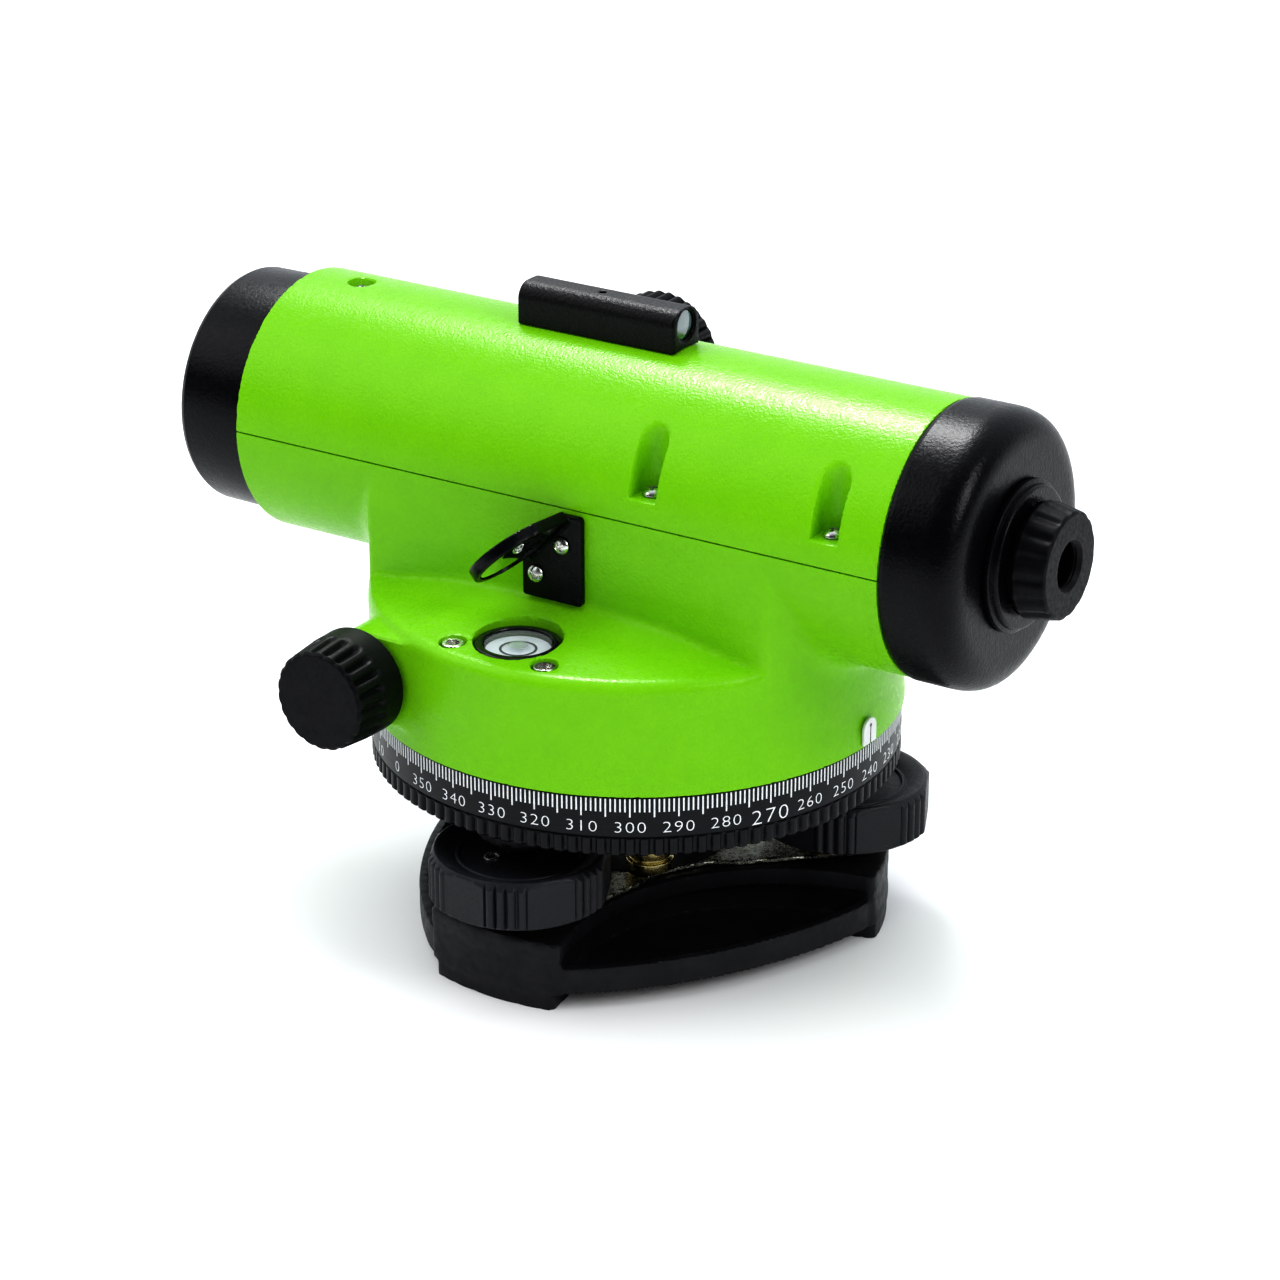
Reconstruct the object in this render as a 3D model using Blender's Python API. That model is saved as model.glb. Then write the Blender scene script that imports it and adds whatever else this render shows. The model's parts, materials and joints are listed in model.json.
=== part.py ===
"""Automatic level (surveying instrument), modelled as an assembly of separate pieces.

Frame: metres, +Z up, origin on the vertical axis at the level of the ground under the base.
+X runs from the objective to the eyepiece, and -Y is the side with the circular bubble.
Every piece is one closed solid, and neighbouring pieces keep a gap of about 0.3 mm.
"""

import math

import bmesh
import bpy
from mathutils import Matrix, Vector

MM = 0.001
GAP = 0.3 * MM

# ---------------------------------------------------------------- driving dimensions
HALF_LENGTH = 103.5 * MM            # objective rim to axis, and axis to eyepiece face
HALF_WIDTH = 70.0 * MM              # axis to the outer face of a drive knob

# telescope
AXIS_Z = 102.65 * MM                # height of the line of sight
BARREL_R = 29.3 * MM
BARREL_X0 = -85.3 * MM
BARREL_X1 = 75.6 * MM
SHELL = 3.0 * MM
BORE_R = BARREL_R - SHELL
PARTING_Z = 103.0 * MM

# skirt and pedestal of the lower body
SKIRT_R = 58.0 * MM
SKIRT_Z0 = 52.5 * MM
SKIRT_INNER_R = 54.5 * MM
CEILING_Z = 72.8 * MM               # underside of the floor over the drive
FLOOR_TOP_Z = 75.8 * MM
LEDGE_RIM_R = 56.0 * MM
LEDGE_RIM_Z = 77.6 * MM             # height of the ledge just inside its rounded rim
LEDGE_SLOPE = 0.1                   # rise of the ledge towards the axis

# slow-motion drive
DRIVE_X = -33.6 * MM
DRIVE_Z = 66.0 * MM
DRIVE_BOSS_R = 10.0 * MM
DRIVE_BOSS_Y = 53.8 * MM
DRIVE_SHAFT_R = 3.0 * MM
WHEEL_TEETH = 36
WORM_PITCH_R = 5.6 * MM
WHEEL_PITCH_R = -DRIVE_X - WORM_PITCH_R
WORM_LEAD = 2 * math.pi * WHEEL_PITCH_R / WHEEL_TEETH

# focusing
FOCUS_X = -25.0 * MM
FOCUS_Z = 110.4 * MM
FOCUS_KNOB_R = 14.0 * MM
FOCUS_KNOB_Y0 = 33.5 * MM
FOCUS_KNOB_Y1 = 52.0 * MM
FOCUS_BOSS_R = 6.8 * MM
PINION_R = 2.5 * MM
PINION_TEETH = 10
RACK_PITCH = 2 * math.pi * PINION_R / PINION_TEETH

# horizontal circle
DIAL_R = 58.0 * MM
DIAL_Z0 = 39.5 * MM
DIAL_Z1 = 52.2 * MM

# levelling base
CORNERS = {"A": -90.0, "B": 30.0, "C": 150.0}     # direction of each foot screw, degrees
BASE_TOP_Z = 15.8 * MM
BASE_CORNER_R = 55.8 * MM
BASE_CORNER_HALF = 18.0             # half-angle of a corner's outer face, degrees
FLANGE_Z0 = 3.8 * MM
FLANGE_Z1 = 9.8 * MM
FLANGE_BULGE = 6.8 * MM             # how far a side bows out from its chord
WAIST_SAG = 18.1 * MM               # how far the tall part's side bows in from its chord
UNDERCUT = 3.0 * MM                 # how far the tall part's side is cut back below its top
FOOT_CIRCLE_R = 45.5 * MM
FOOT_KNOB_R = 18.5 * MM
FOOT_KNOB_Z0 = 19.2 * MM
FOOT_KNOB_Z1 = 30.6 * MM
ARM_Z0 = 35.5 * MM
ARM_Z1 = 38.6 * MM
TILT_Z = 37.0 * MM                  # height of the two tilt axes, in the foot bushes
FOOT_SCREW_TOP_Z = ARM_Z1 - 1.5 * MM
SPRING_Z0 = BASE_TOP_Z + GAP
SPRING_Z1 = SPRING_Z0 + 0.8 * MM
STUD_DIRECTIONS = (-48.0, 72.0, 192.0)
STUD_CIRCLE_R = 18.0 * MM
STUD_SHANK_R = 1.5 * MM
HEAD_HUB_R = 14.0 * MM              # hub of the levelling head, which the circle turns on
SLEEVE_R = 12.7 * MM

# bubble and mirror
BUBBLE_X = -0.9 * MM
BUBBLE_Y = -43.9 * MM
BUBBLE_HOLE_R = 9.5 * MM
BUBBLE_Z1 = 77.9 * MM
ADJUSTER_DX = 11.45 * MM            # adjusting screws, either side of the bubble
ADJUSTER_DY = -7.2 * MM
ADJUSTER_PLACES = tuple((BUBBLE_X + side * ADJUSTER_DX, BUBBLE_Y + ADJUSTER_DY)
                        for side in (-1, 1))
MIRROR_CENTRE = Vector((-4.3 * MM, -40.6 * MM, 95.2 * MM))
MIRROR_NORMAL = Vector((1.0, -0.12, -1.0)).normalized()
MIRROR_R = 8.0 * MM
BRACKET_SCREW_PLACES = ((1.6 * MM, 95.6 * MM), (-4.9 * MM, 88.0 * MM))      # (x, z)

# cover screws: places along X of the slots on each side, and of the one on top
SLOT_XS = (19.7 * MM, 62.7 * MM)
SLOT_Y = 24.2 * MM
SLOT_R = 3.2 * MM
SLOT_Z = 108.4 * MM
TOP_SCREW_X = -71.8 * MM
TOP_SCREW_Z = 129.4 * MM
SCREW_HOLE_R = 1.5 * MM

# sight, on top of the cover
SIGHT_X0 = -27.0 * MM
SIGHT_X1 = 12.5 * MM
SIGHT_HALF = 5.0 * MM
SIGHT_BORE_R = 3.3 * MM
SIGHT_BORE_Z = 137.0 * MM
SIGHT_TOP_Z = 140.7 * MM

# eyepiece end
CAP_X0 = BARREL_X1 + GAP
CAP_FACE_X = 92.0 * MM
CAP_R = 29.6 * MM
CAP_ROUND = 8.2 * MM
EYEPIECE_PIVOT_X = 97.0 * MM

# round pieces: how many sides each size of circle gets
FINE = 36
MEDIUM = 20
SMALL = 12
TINY = 8

# frames for pieces that don't stand upright
TELESCOPE = {"axis": (1, 0, 0), "origin": (0, 0, AXIS_Z)}
ALONG_X = Matrix(((0, 0, 1, 0), (1, 0, 0, 0), (0, 1, 0, 0), (0, 0, 0, 1)))
ALONG_Y = Matrix(((1, 0, 0, 0), (0, 0, 1, 0), (0, 1, 0, 0), (0, 0, 0, 1)))


# ---------------------------------------------------------------- scene and materials
def clear_scene():
    """Remove whatever objects the scene holds."""
    for old in list(bpy.data.objects):
        bpy.data.objects.remove(old, do_unlink=True)


def principled(name, colour, roughness, metallic=0.0, transmission=0.0):
    """One Principled material with the given constants."""
    material = bpy.data.materials.new(name)
    material.use_nodes = True
    shader = material.node_tree.nodes["Principled BSDF"]
    shader.inputs["Base Color"].default_value = (*colour, 1.0)
    shader.inputs["Roughness"].default_value = roughness
    shader.inputs["Metallic"].default_value = metallic
    shader.inputs["Transmission Weight"].default_value = transmission
    material.diffuse_color = (*colour, 1.0)
    return material


FINISHES = {
    "green_paint": ((0.16, 0.60, 0.012), 0.38, 0.0, 0.0),
    "black_paint": ((0.012, 0.012, 0.014), 0.35, 0.0, 0.0),
    "black_plastic": ((0.015, 0.015, 0.016), 0.55, 0.0, 0.0),
    "base_black": ((0.014, 0.014, 0.015), 0.60, 0.0, 0.0),
    "dial_black": ((0.018, 0.020, 0.024), 0.45, 0.0, 0.0),
    "zinc_steel": ((0.62, 0.60, 0.52), 0.32, 1.0, 0.0),
    "chromate_steel": ((0.40, 0.36, 0.20), 0.45, 1.0, 0.0),
    "bright_steel": ((0.72, 0.72, 0.70), 0.22, 1.0, 0.0),
    "brass": ((0.80, 0.60, 0.22), 0.28, 1.0, 0.0),
    "silver_label": ((0.80, 0.81, 0.82), 0.40, 0.0, 0.0),
    "dark_aluminium": ((0.10, 0.10, 0.11), 0.45, 1.0, 0.0),
    "mirror_silver": ((0.92, 0.93, 0.93), 0.03, 1.0, 0.0),
    "clear_glass": ((0.95, 0.98, 1.0), 0.02, 0.0, 1.0),
    "coated_glass": ((0.55, 0.70, 0.95), 0.02, 0.0, 1.0),
}


# ---------------------------------------------------------------- modelling helpers
def finish_object(name, mesh, finish, parent=None, sharp_angle=35.0):
    """Link a mesh as a named object with its own material, smooth-shaded by angle."""
    mesh.name = name
    mesh.shade_smooth()
    mesh.set_sharp_from_angle(angle=math.radians(sharp_angle))
    mesh.materials.clear()
    mesh.materials.append(principled(name + "_material", *FINISHES[finish]))
    piece = bpy.data.objects.new(name, mesh)
    bpy.context.collection.objects.link(piece)
    if parent is not None:
        piece.parent = parent
        piece.matrix_parent_inverse = parent.matrix_world.inverted()
    return piece


def pivot(name, location):
    """An empty that marks a joint's axis and carries the pieces that turn on it."""
    empty = bpy.data.objects.new(name, None)
    bpy.context.collection.objects.link(empty)
    empty.location = location
    empty.empty_display_size = 5 * MM
    bpy.context.view_layer.update()
    return empty


def mesh_from(bm):
    """Turn a bmesh into a mesh with its faces pointing out."""
    bmesh.ops.remove_doubles(bm, verts=bm.verts, dist=1e-7)
    bmesh.ops.recalc_face_normals(bm, faces=bm.faces)
    mesh = bpy.data.meshes.new("shape")
    bm.to_mesh(mesh)
    bm.free()
    return mesh


def frame_to(direction, origin=(0.0, 0.0, 0.0)):
    """A matrix that takes local +Z to a direction and the local origin to a point."""
    turn = Vector((0.0, 0.0, 1.0)).rotation_difference(Vector(direction))
    return Matrix.Translation(Vector(origin)) @ turn.to_matrix().to_4x4()


def turned(profile, segments, axis=(0, 0, 1), origin=(0, 0, 0)):
    """Turn a closed outline of (radius, height) points about an axis."""
    bm = bmesh.new()
    points = [bm.verts.new((radius, 0.0, height)) for radius, height in profile]
    edges = [bm.edges.new((points[i - 1], points[i])) for i in range(len(points))]
    bmesh.ops.spin(
        bm,
        geom=points + edges,
        cent=(0, 0, 0),
        axis=(0, 0, 1),
        angle=2 * math.pi,
        steps=segments,
        use_merge=True,
    )
    bmesh.ops.remove_doubles(bm, verts=bm.verts, dist=1e-7)
    bmesh.ops.dissolve_degenerate(bm, edges=bm.edges, dist=1e-7)
    loose = [edge for edge in bm.edges if not edge.link_faces]
    bmesh.ops.delete(bm, geom=loose, context="EDGES")
    bmesh.ops.transform(bm, matrix=frame_to(axis, origin), verts=bm.verts)
    return mesh_from(bm)


def drum(radius, low, high, segments, axis=(0, 0, 1), origin=(0, 0, 0)):
    """A plain cylinder from one height to another along an axis."""
    return turned([(0, low), (radius, low), (radius, high), (0, high)], segments, axis, origin)


def prism(outline, low, high, matrix=None):
    """Extrude a flat outline of (x, y) points from one height to another."""
    bm = bmesh.new()
    base = bm.faces.new([bm.verts.new((x, y, low)) for x, y in outline])
    top = bmesh.ops.extrude_face_region(bm, geom=[base])
    moved = [item for item in top["geom"] if isinstance(item, bmesh.types.BMVert)]
    bmesh.ops.translate(bm, verts=moved, vec=(0, 0, high - low))
    if matrix is not None:
        bmesh.ops.transform(bm, matrix=matrix, verts=bm.verts)
    return mesh_from(bm)


def block(low, high):
    """A box between two corners."""
    outline = [(low[0], low[1]), (high[0], low[1]), (high[0], high[1]), (low[0], high[1])]
    return prism(outline, low[2], high[2])


def combine(mesh, tool, operation):
    """Boolean one mesh with another by the exact solver and return the new mesh."""
    target = bpy.data.objects.new("target", mesh)
    cutter = bpy.data.objects.new("cutter", tool)
    for item in (target, cutter):
        bpy.context.collection.objects.link(item)
    modifier = target.modifiers.new("boolean", "BOOLEAN")
    modifier.operation = operation
    modifier.solver = "EXACT"
    modifier.object = cutter
    graph = bpy.context.evaluated_depsgraph_get()
    result = bpy.data.meshes.new_from_object(target.evaluated_get(graph))
    for item in (target, cutter):
        bpy.data.objects.remove(item, do_unlink=True)
    return result


def union(mesh, *tools):
    """Join solids into one."""
    for tool in tools:
        mesh = combine(mesh, tool, "UNION")
    return mesh


def cut(mesh, *tools):
    """Take solids away from one."""
    for tool in tools:
        mesh = combine(mesh, tool, "DIFFERENCE")
    return mesh


def common(mesh, tool):
    """Keep only what two solids share."""
    return combine(mesh, tool, "INTERSECT")


def arc(centre, radius, start, end, steps):
    """Points along an arc in the plane, from one angle to another, in degrees."""
    angles = [math.radians(start + (end - start) * i / steps) for i in range(steps + 1)]
    return [(centre[0] + radius * math.cos(a), centre[1] + radius * math.sin(a)) for a in angles]


def bowed_side(start, end, bulge, steps):
    """Points strictly between two ends of an arc that bows away from the origin by bulge."""
    chord = Vector(end) - Vector(start)
    middle = (Vector(start) + Vector(end)) / 2
    outward = middle.normalized()
    half = chord.length / 2
    radius = (half ** 2 + bulge ** 2) / (2 * bulge)
    centre = middle + outward * (bulge - radius)
    first = math.atan2(start[1] - centre.y, start[0] - centre.x)
    last = math.atan2(end[1] - centre.y, end[0] - centre.x)
    sweep = (last - first + math.pi) % (2 * math.pi) - math.pi
    points = []
    for i in range(1, steps):
        angle = first + sweep * i / steps
        points.append((centre.x + abs(radius) * math.cos(angle),
                       centre.y + abs(radius) * math.sin(angle)))
    return points


def three_sided(corner_r, half_angle, bulge, steps=7):
    """The base's outline: an arc at each corner, joined by sides that bow by bulge."""
    outline = []
    directions = sorted(CORNERS.values())
    for i, direction in enumerate(directions):
        corner = arc((0, 0), corner_r, direction - half_angle, direction + half_angle, 4)
        following = directions[(i + 1) % 3]
        goal = arc((0, 0), corner_r, following - half_angle, following, 1)[0]
        outline += corner
        outline += bowed_side(corner[-1], goal, bulge, steps)
    return outline


def foot_place(letter, z=0.0):
    """The point on a foot screw's axis at a height."""
    angle = math.radians(CORNERS[letter])
    return Vector((FOOT_CIRCLE_R * math.cos(angle), FOOT_CIRCLE_R * math.sin(angle), z))


def along_y(x, z):
    """A frame whose local +Z is world +Y, on an axis at x and z."""
    return {"axis": (0, 1, 0), "origin": (x, 0, z)}


# ---------------------------------------------------------------- levelling base
def make_base():
    """The black casting, its plates, the tripod bush and the studs on top."""
    top_edge_z = BASE_TOP_Z - 4.2 * MM
    top = prism(three_sided(BASE_CORNER_R, BASE_CORNER_HALF, -WAIST_SAG), top_edge_z, BASE_TOP_Z)
    core = prism(
        three_sided(BASE_CORNER_R, BASE_CORNER_HALF, -WAIST_SAG - UNDERCUT),
        FLANGE_Z0,
        top_edge_z + MM,
    )
    tall = union(top, core)
    inset = 0.3 * MM
    wall = 2.2 * MM
    floor_z = FLANGE_Z0 + 1.4 * MM
    flange = prism(
        three_sided(BASE_CORNER_R - inset, BASE_CORNER_HALF - 0.3, FLANGE_BULGE),
        FLANGE_Z0 + 0.01 * MM,
        FLANGE_Z1,
    )
    pocket = prism(
        three_sided(BASE_CORNER_R - wall, BASE_CORNER_HALF - 0.3, FLANGE_BULGE),
        floor_z,
        FLANGE_Z1 + MM,
    )
    casting = union(cut(flange, pocket), tall)
    foot_depth = 41.0 * MM
    foot_half = 13.2 * MM
    for letter, direction in CORNERS.items():
        outline = arc((0, 0), BASE_CORNER_R - 0.1 * MM, -BASE_CORNER_HALF + 0.2,
                      BASE_CORNER_HALF - 0.2, 6)
        outline += [(foot_depth, foot_half), (foot_depth, -foot_half)]
        turn = Matrix.Rotation(math.radians(direction), 4, "Z")
        casting = union(casting, prism(outline, 0.0, FLANGE_Z0 + MM, turn))
        socket = drum(7.0 * MM, 5.8 * MM, BASE_TOP_Z + MM, SMALL, origin=foot_place(letter))
        casting = cut(casting, socket)
    bush_bore = drum(13.0 * MM, FLANGE_Z0 - MM, 13.2 * MM, MEDIUM)
    centre_hole = drum(9.0 * MM, 12.0 * MM, BASE_TOP_Z + MM, MEDIUM)
    casting = cut(casting, bush_bore, centre_hole)
    for direction in STUD_DIRECTIONS:
        hole = drum(STUD_SHANK_R + GAP, 9.0 * MM, BASE_TOP_Z + MM, TINY,
                    origin=stud_place(direction))
        casting = cut(casting, hole)
    finish_object("base_casting", casting, "base_black")

    plate = prism(
        three_sided(41.0 * MM, 16.0, FLANGE_BULGE), GAP, FLANGE_Z0 - GAP)
    plate = cut(plate, drum(10.0 * MM, 0, FLANGE_Z0, MEDIUM))
    for direction in CORNERS.values():
        clear = block((40.4 * MM, -30 * MM, -MM), (70 * MM, 30 * MM, FLANGE_Z0 + MM))
        clear.transform(Matrix.Rotation(math.radians(direction), 4, "Z"))
        plate = cut(plate, clear)
    finish_object("bottom_plate", plate, "chromate_steel")

    bush = turned([(7.4 * MM, FLANGE_Z0), (12.7 * MM, FLANGE_Z0), (12.7 * MM, 12.9 * MM),
                   (7.4 * MM, 12.9 * MM)], MEDIUM)
    finish_object("tripod_bush", bush, "bright_steel")
    make_spring_plate()


def stud_place(direction):
    """A point on a stud's axis, at the ground."""
    angle = math.radians(direction)
    return Vector((STUD_CIRCLE_R * math.cos(angle), STUD_CIRCLE_R * math.sin(angle), 0))


def make_spring_plate():
    """The three-armed plate that holds the foot screws' balls down, and its studs."""
    arm_root = 18.0 * MM
    arm_tip = 11.0 * MM
    reach = 50.0 * MM
    plate = drum(20.5 * MM, SPRING_Z0, SPRING_Z1, MEDIUM)
    for direction in CORNERS.values():
        outline = [(0, -arm_root), (22 * MM, -arm_root), (reach, -arm_tip),
                   (reach, arm_tip), (22 * MM, arm_root), (0, arm_root)]
        turn = Matrix.Rotation(math.radians(direction), 4, "Z")
        arm = prism(outline, SPRING_Z0, SPRING_Z1, turn)
        plate = union(plate, arm)
    for letter in CORNERS:
        plate = cut(plate, drum(4.7 * MM, 0, 30 * MM, TINY, origin=foot_place(letter)))
    plate = cut(plate, drum(8.5 * MM, 0, 30 * MM, SMALL))
    for direction in STUD_DIRECTIONS:
        hole = drum(STUD_SHANK_R + GAP, 0, 30 * MM, TINY, origin=stud_place(direction))
        plate = cut(plate, hole)
    finish_object("spring_plate", plate, "zinc_steel")
    head_r = 5.2 * MM
    head_z = SPRING_Z1 + GAP
    profile = [(0, 9.5 * MM), (STUD_SHANK_R, 9.5 * MM), (STUD_SHANK_R, head_z), (head_r, head_z),
               (head_r, head_z + 2.0 * MM), (head_r - 0.7 * MM, head_z + 2.4 * MM),
               (head_r, head_z + 2.8 * MM), (head_r, head_z + 5.6 * MM),
               (head_r - MM, head_z + 6.6 * MM), (0, head_z + 6.6 * MM)]
    for number, direction in enumerate(STUD_DIRECTIONS, start=1):
        stud = turned(profile, TINY, origin=stud_place(direction))
        finish_object("plate_stud_%d" % number, stud, "brass")


def make_foot_screw(letter):
    """A foot screw: threaded spindle with a ball end, and the knob fixed on it."""
    place = foot_place(letter)
    empty = pivot("foot_pivot_" + letter, foot_place(letter, FOOT_KNOB_Z0))
    ball_z = 12.0 * MM
    ball_r = 5.6 * MM
    neck_r = 4.0 * MM
    thread_r = 2.9 * MM
    hub_r = 6.0 * MM
    ball = [(ball_r * math.sin(math.radians(a)), ball_z - ball_r * math.cos(math.radians(a)))
            for a in (0, 36, 72, 108)]
    neck_angle = math.asin(neck_r / ball_r)
    ball.append((neck_r, ball_z + ball_r * math.cos(neck_angle)))
    spindle = ball + [
        (neck_r, FOOT_KNOB_Z0 - GAP), (thread_r, FOOT_KNOB_Z0 - GAP),
        (thread_r, FOOT_SCREW_TOP_Z - 0.8 * MM), (thread_r - 0.8 * MM, FOOT_SCREW_TOP_Z),
        (0, FOOT_SCREW_TOP_Z)]
    finish_object("foot_screw_" + letter, turned(spindle, SMALL, origin=place),
                  "bright_steel", empty)
    chamfer = 1.2 * MM
    recess_r = 13.5 * MM
    recess_z = FOOT_KNOB_Z1 - 2.0 * MM
    bore = thread_r + GAP
    knob = [(bore, FOOT_KNOB_Z0), (FOOT_KNOB_R - 0.6 * MM, FOOT_KNOB_Z0),
            (FOOT_KNOB_R, FOOT_KNOB_Z0 + 0.6 * MM), (FOOT_KNOB_R, FOOT_KNOB_Z1 - chamfer),
            (FOOT_KNOB_R - chamfer, FOOT_KNOB_Z1), (recess_r, FOOT_KNOB_Z1),
            (recess_r, recess_z), (hub_r, recess_z), (hub_r, recess_z - 0.4 * MM),
            (bore, recess_z - 0.4 * MM)]
    finish_object("foot_knob_" + letter, turned(knob, MEDIUM, origin=place),
                  "black_plastic", empty)


def make_foot_bush(letter, parent):
    """The brass bush in an arm of the levelling head that the foot screw threads into."""
    profile = [(3.5 * MM, 33.4 * MM), (6.4 * MM, 33.4 * MM), (6.4 * MM, ARM_Z0 - GAP),
               (5.5 * MM, ARM_Z0 - GAP), (5.5 * MM, ARM_Z1), (3.5 * MM, ARM_Z1)]
    bush = turned(profile, SMALL, origin=foot_place(letter))
    finish_object("foot_bush_" + letter, bush, "brass", parent)


def make_levelling_head():
    """The three-armed head, with the foot screws' bushes and the bearing sleeve."""
    head = pivot("levelling_head_pivot", (0, FOOT_CIRCLE_R / 2, TILT_Z))
    rocker = pivot("rocker_pivot", (0, 0, TILT_Z))
    hub_r = HEAD_HUB_R
    bore = SLEEVE_R + GAP
    disc_r = 24 * MM
    boss_r = 9.0 * MM
    root = 18 * MM                  # where an arm starts, inside the disc
    step = 0.15 * MM                # the arms stand back this far from the disc's two faces
    trivet = turned([(bore, 30 * MM), (hub_r, 30 * MM), (hub_r, ARM_Z0), (disc_r, ARM_Z0),
                     (disc_r, ARM_Z1), (hub_r, ARM_Z1), (hub_r, 46 * MM), (bore, 46 * MM)],
                    MEDIUM)
    for letter, direction in CORNERS.items():
        turn = Matrix.Rotation(math.radians(direction), 4, "Z")
        outline = [(root, -boss_r)] + arc((FOOT_CIRCLE_R, 0), boss_r, -90, 90, 8)
        outline += [(root, boss_r)]
        arm = prism(outline, ARM_Z0 + step, ARM_Z1 - step, turn)
        arm = cut(arm, drum(6.0 * MM, 20 * MM, 50 * MM, SMALL, origin=foot_place(letter)))
        trivet = union(trivet, arm)
    finish_object("levelling_head", trivet, "base_black", head)
    make_foot_bush("A", head)
    for letter in "BC":
        make_foot_bush(letter, rocker)

    sleeve = turned([(8.3 * MM, 29.0 * MM), (SLEEVE_R, 29.0 * MM), (SLEEVE_R, 68.4 * MM),
                     (8.3 * MM, 68.4 * MM)], MEDIUM)
    finish_object("axis_sleeve", sleeve, "bright_steel", head)
    return head


def make_circle(head):
    """The graduated circle: a ring on a thin web that turns on the levelling head's hub."""
    turning = pivot("circle_pivot", (0, 0, DIAL_Z0))
    turning.parent = head
    turning.matrix_parent_inverse = head.matrix_world.inverted()
    bpy.context.view_layer.update()
    wall = 3.0 * MM
    web = 2.2 * MM
    bore = HEAD_HUB_R + GAP
    dial = [(bore, DIAL_Z0), (DIAL_R - 0.8 * MM, DIAL_Z0), (DIAL_R, DIAL_Z0 + 0.8 * MM),
            (DIAL_R, DIAL_Z1), (DIAL_R - wall, DIAL_Z1), (DIAL_R - wall, DIAL_Z0 + web),
            (bore + 3 * MM, DIAL_Z0 + web), (bore + 3 * MM, DIAL_Z0 + web + 3 * MM),
            (bore, DIAL_Z0 + web + 3 * MM)]
    finish_object("graduated_circle", turned(dial, FINE), "dial_black", turning)


# ---------------------------------------------------------------- lower body and cover
def ledge_z(radius):
    """Height of the ledge's gently coned top at a radius."""
    return LEDGE_RIM_Z + LEDGE_SLOPE * (LEDGE_RIM_R - radius)


def barrel_half(radius, x0, x1, upper, split_z):
    """A solid half of the barrel, above or below a level, running along X."""
    dip = (split_z - AXIS_Z) / radius
    edge = math.degrees(math.asin(dip))
    if upper:
        outline = arc((0, 0), radius, edge, 180 - edge, 20)
    else:
        outline = arc((0, 0), radius, 180 - edge, 360 + edge, 20)
    return prism(outline, x0, x1, Matrix.Translation((0, 0, AXIS_Z)) @ ALONG_X)


def make_lower_body(parent):
    """The green casting: skirt, domed ledges, pedestal, drive bosses and half the barrel."""
    rim_drop = 1.7 * MM
    profile = [(0, SKIRT_Z0), (SKIRT_R + 0.6 * MM, SKIRT_Z0), (SKIRT_R, SKIRT_Z0 + 8 * MM),
               (SKIRT_R, LEDGE_RIM_Z - rim_drop), (SKIRT_R - 0.6 * MM, LEDGE_RIM_Z - 0.5 * MM),
               (LEDGE_RIM_R, LEDGE_RIM_Z), (0, ledge_z(0))]
    body = turned(profile, FINE)
    reach = SKIRT_R - 0.15 * MM
    pedestal = common(
        drum(reach, 60 * MM, PARTING_Z - MM, FINE),
        block((-reach - MM, -BARREL_R, 59 * MM), (reach + MM, BARREL_R, 110 * MM)),
    )
    barrel = barrel_half(BARREL_R, BARREL_X0, BARREL_X1, False, PARTING_Z)
    rounded = arc((DRIVE_X, DRIVE_Z), DRIVE_BOSS_R, 90, 270, 10)
    root = DRIVE_X + 20 * MM            # the bosses' flat end, inside the skirt
    rounded += [(root, DRIVE_Z - DRIVE_BOSS_R), (root, DRIVE_Z + DRIVE_BOSS_R)]
    boss = prism(rounded, -DRIVE_BOSS_Y, DRIVE_BOSS_Y, ALONG_Y)
    body = union(body, boss, pedestal, barrel)

    under = drum(SKIRT_INNER_R, SKIRT_Z0 - MM, CEILING_Z, FINE)
    hollow = common(
        drum(SKIRT_INNER_R, FLOOR_TOP_Z, PARTING_Z + MM, FINE),
        block((-60 * MM, -BORE_R, 50 * MM), (60 * MM, BORE_R, 110 * MM)),
    )
    bore = drum(BORE_R, BARREL_X0 - MM, BARREL_X1 + MM, FINE, **TELESCOPE)
    body = cut(body, under, hollow, bore)
    for x in SLOT_XS:
        for side in (-1, 1):
            pillar = common(
                drum(4.2 * MM, 90 * MM, PARTING_Z - 0.05 * MM, SMALL,
                     origin=(x, side * SLOT_Y, 0)),
                drum(BARREL_R - 0.2 * MM, 0, 80 * MM, FINE, **TELESCOPE),
            )
            hole = drum(SCREW_HOLE_R, 96 * MM, 110 * MM, TINY, origin=(x, side * SLOT_Y, 0))
            body = cut(union(body, pillar), hole)
    shaft_hole = drum(DRIVE_SHAFT_R + GAP, -70 * MM, 70 * MM, SMALL, **along_y(DRIVE_X, DRIVE_Z))
    bubble_hole = drum(BUBBLE_HOLE_R, 74.5 * MM, 90 * MM, MEDIUM, origin=(BUBBLE_X, BUBBLE_Y, 0))
    body = cut(body, shaft_hole, bubble_hole)
    for x, y in ADJUSTER_PLACES:
        body = cut(body, drum(2.9 * MM, 75.0 * MM, 90 * MM, TINY, origin=(x, y, 0)))
    for x, z in BRACKET_SCREW_PLACES:
        body = cut(body, drum(1.4 * MM, -32 * MM, -25.5 * MM, TINY, **along_y(x, z)))
    finish_object("lower_body", body, "green_paint", parent)


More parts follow.
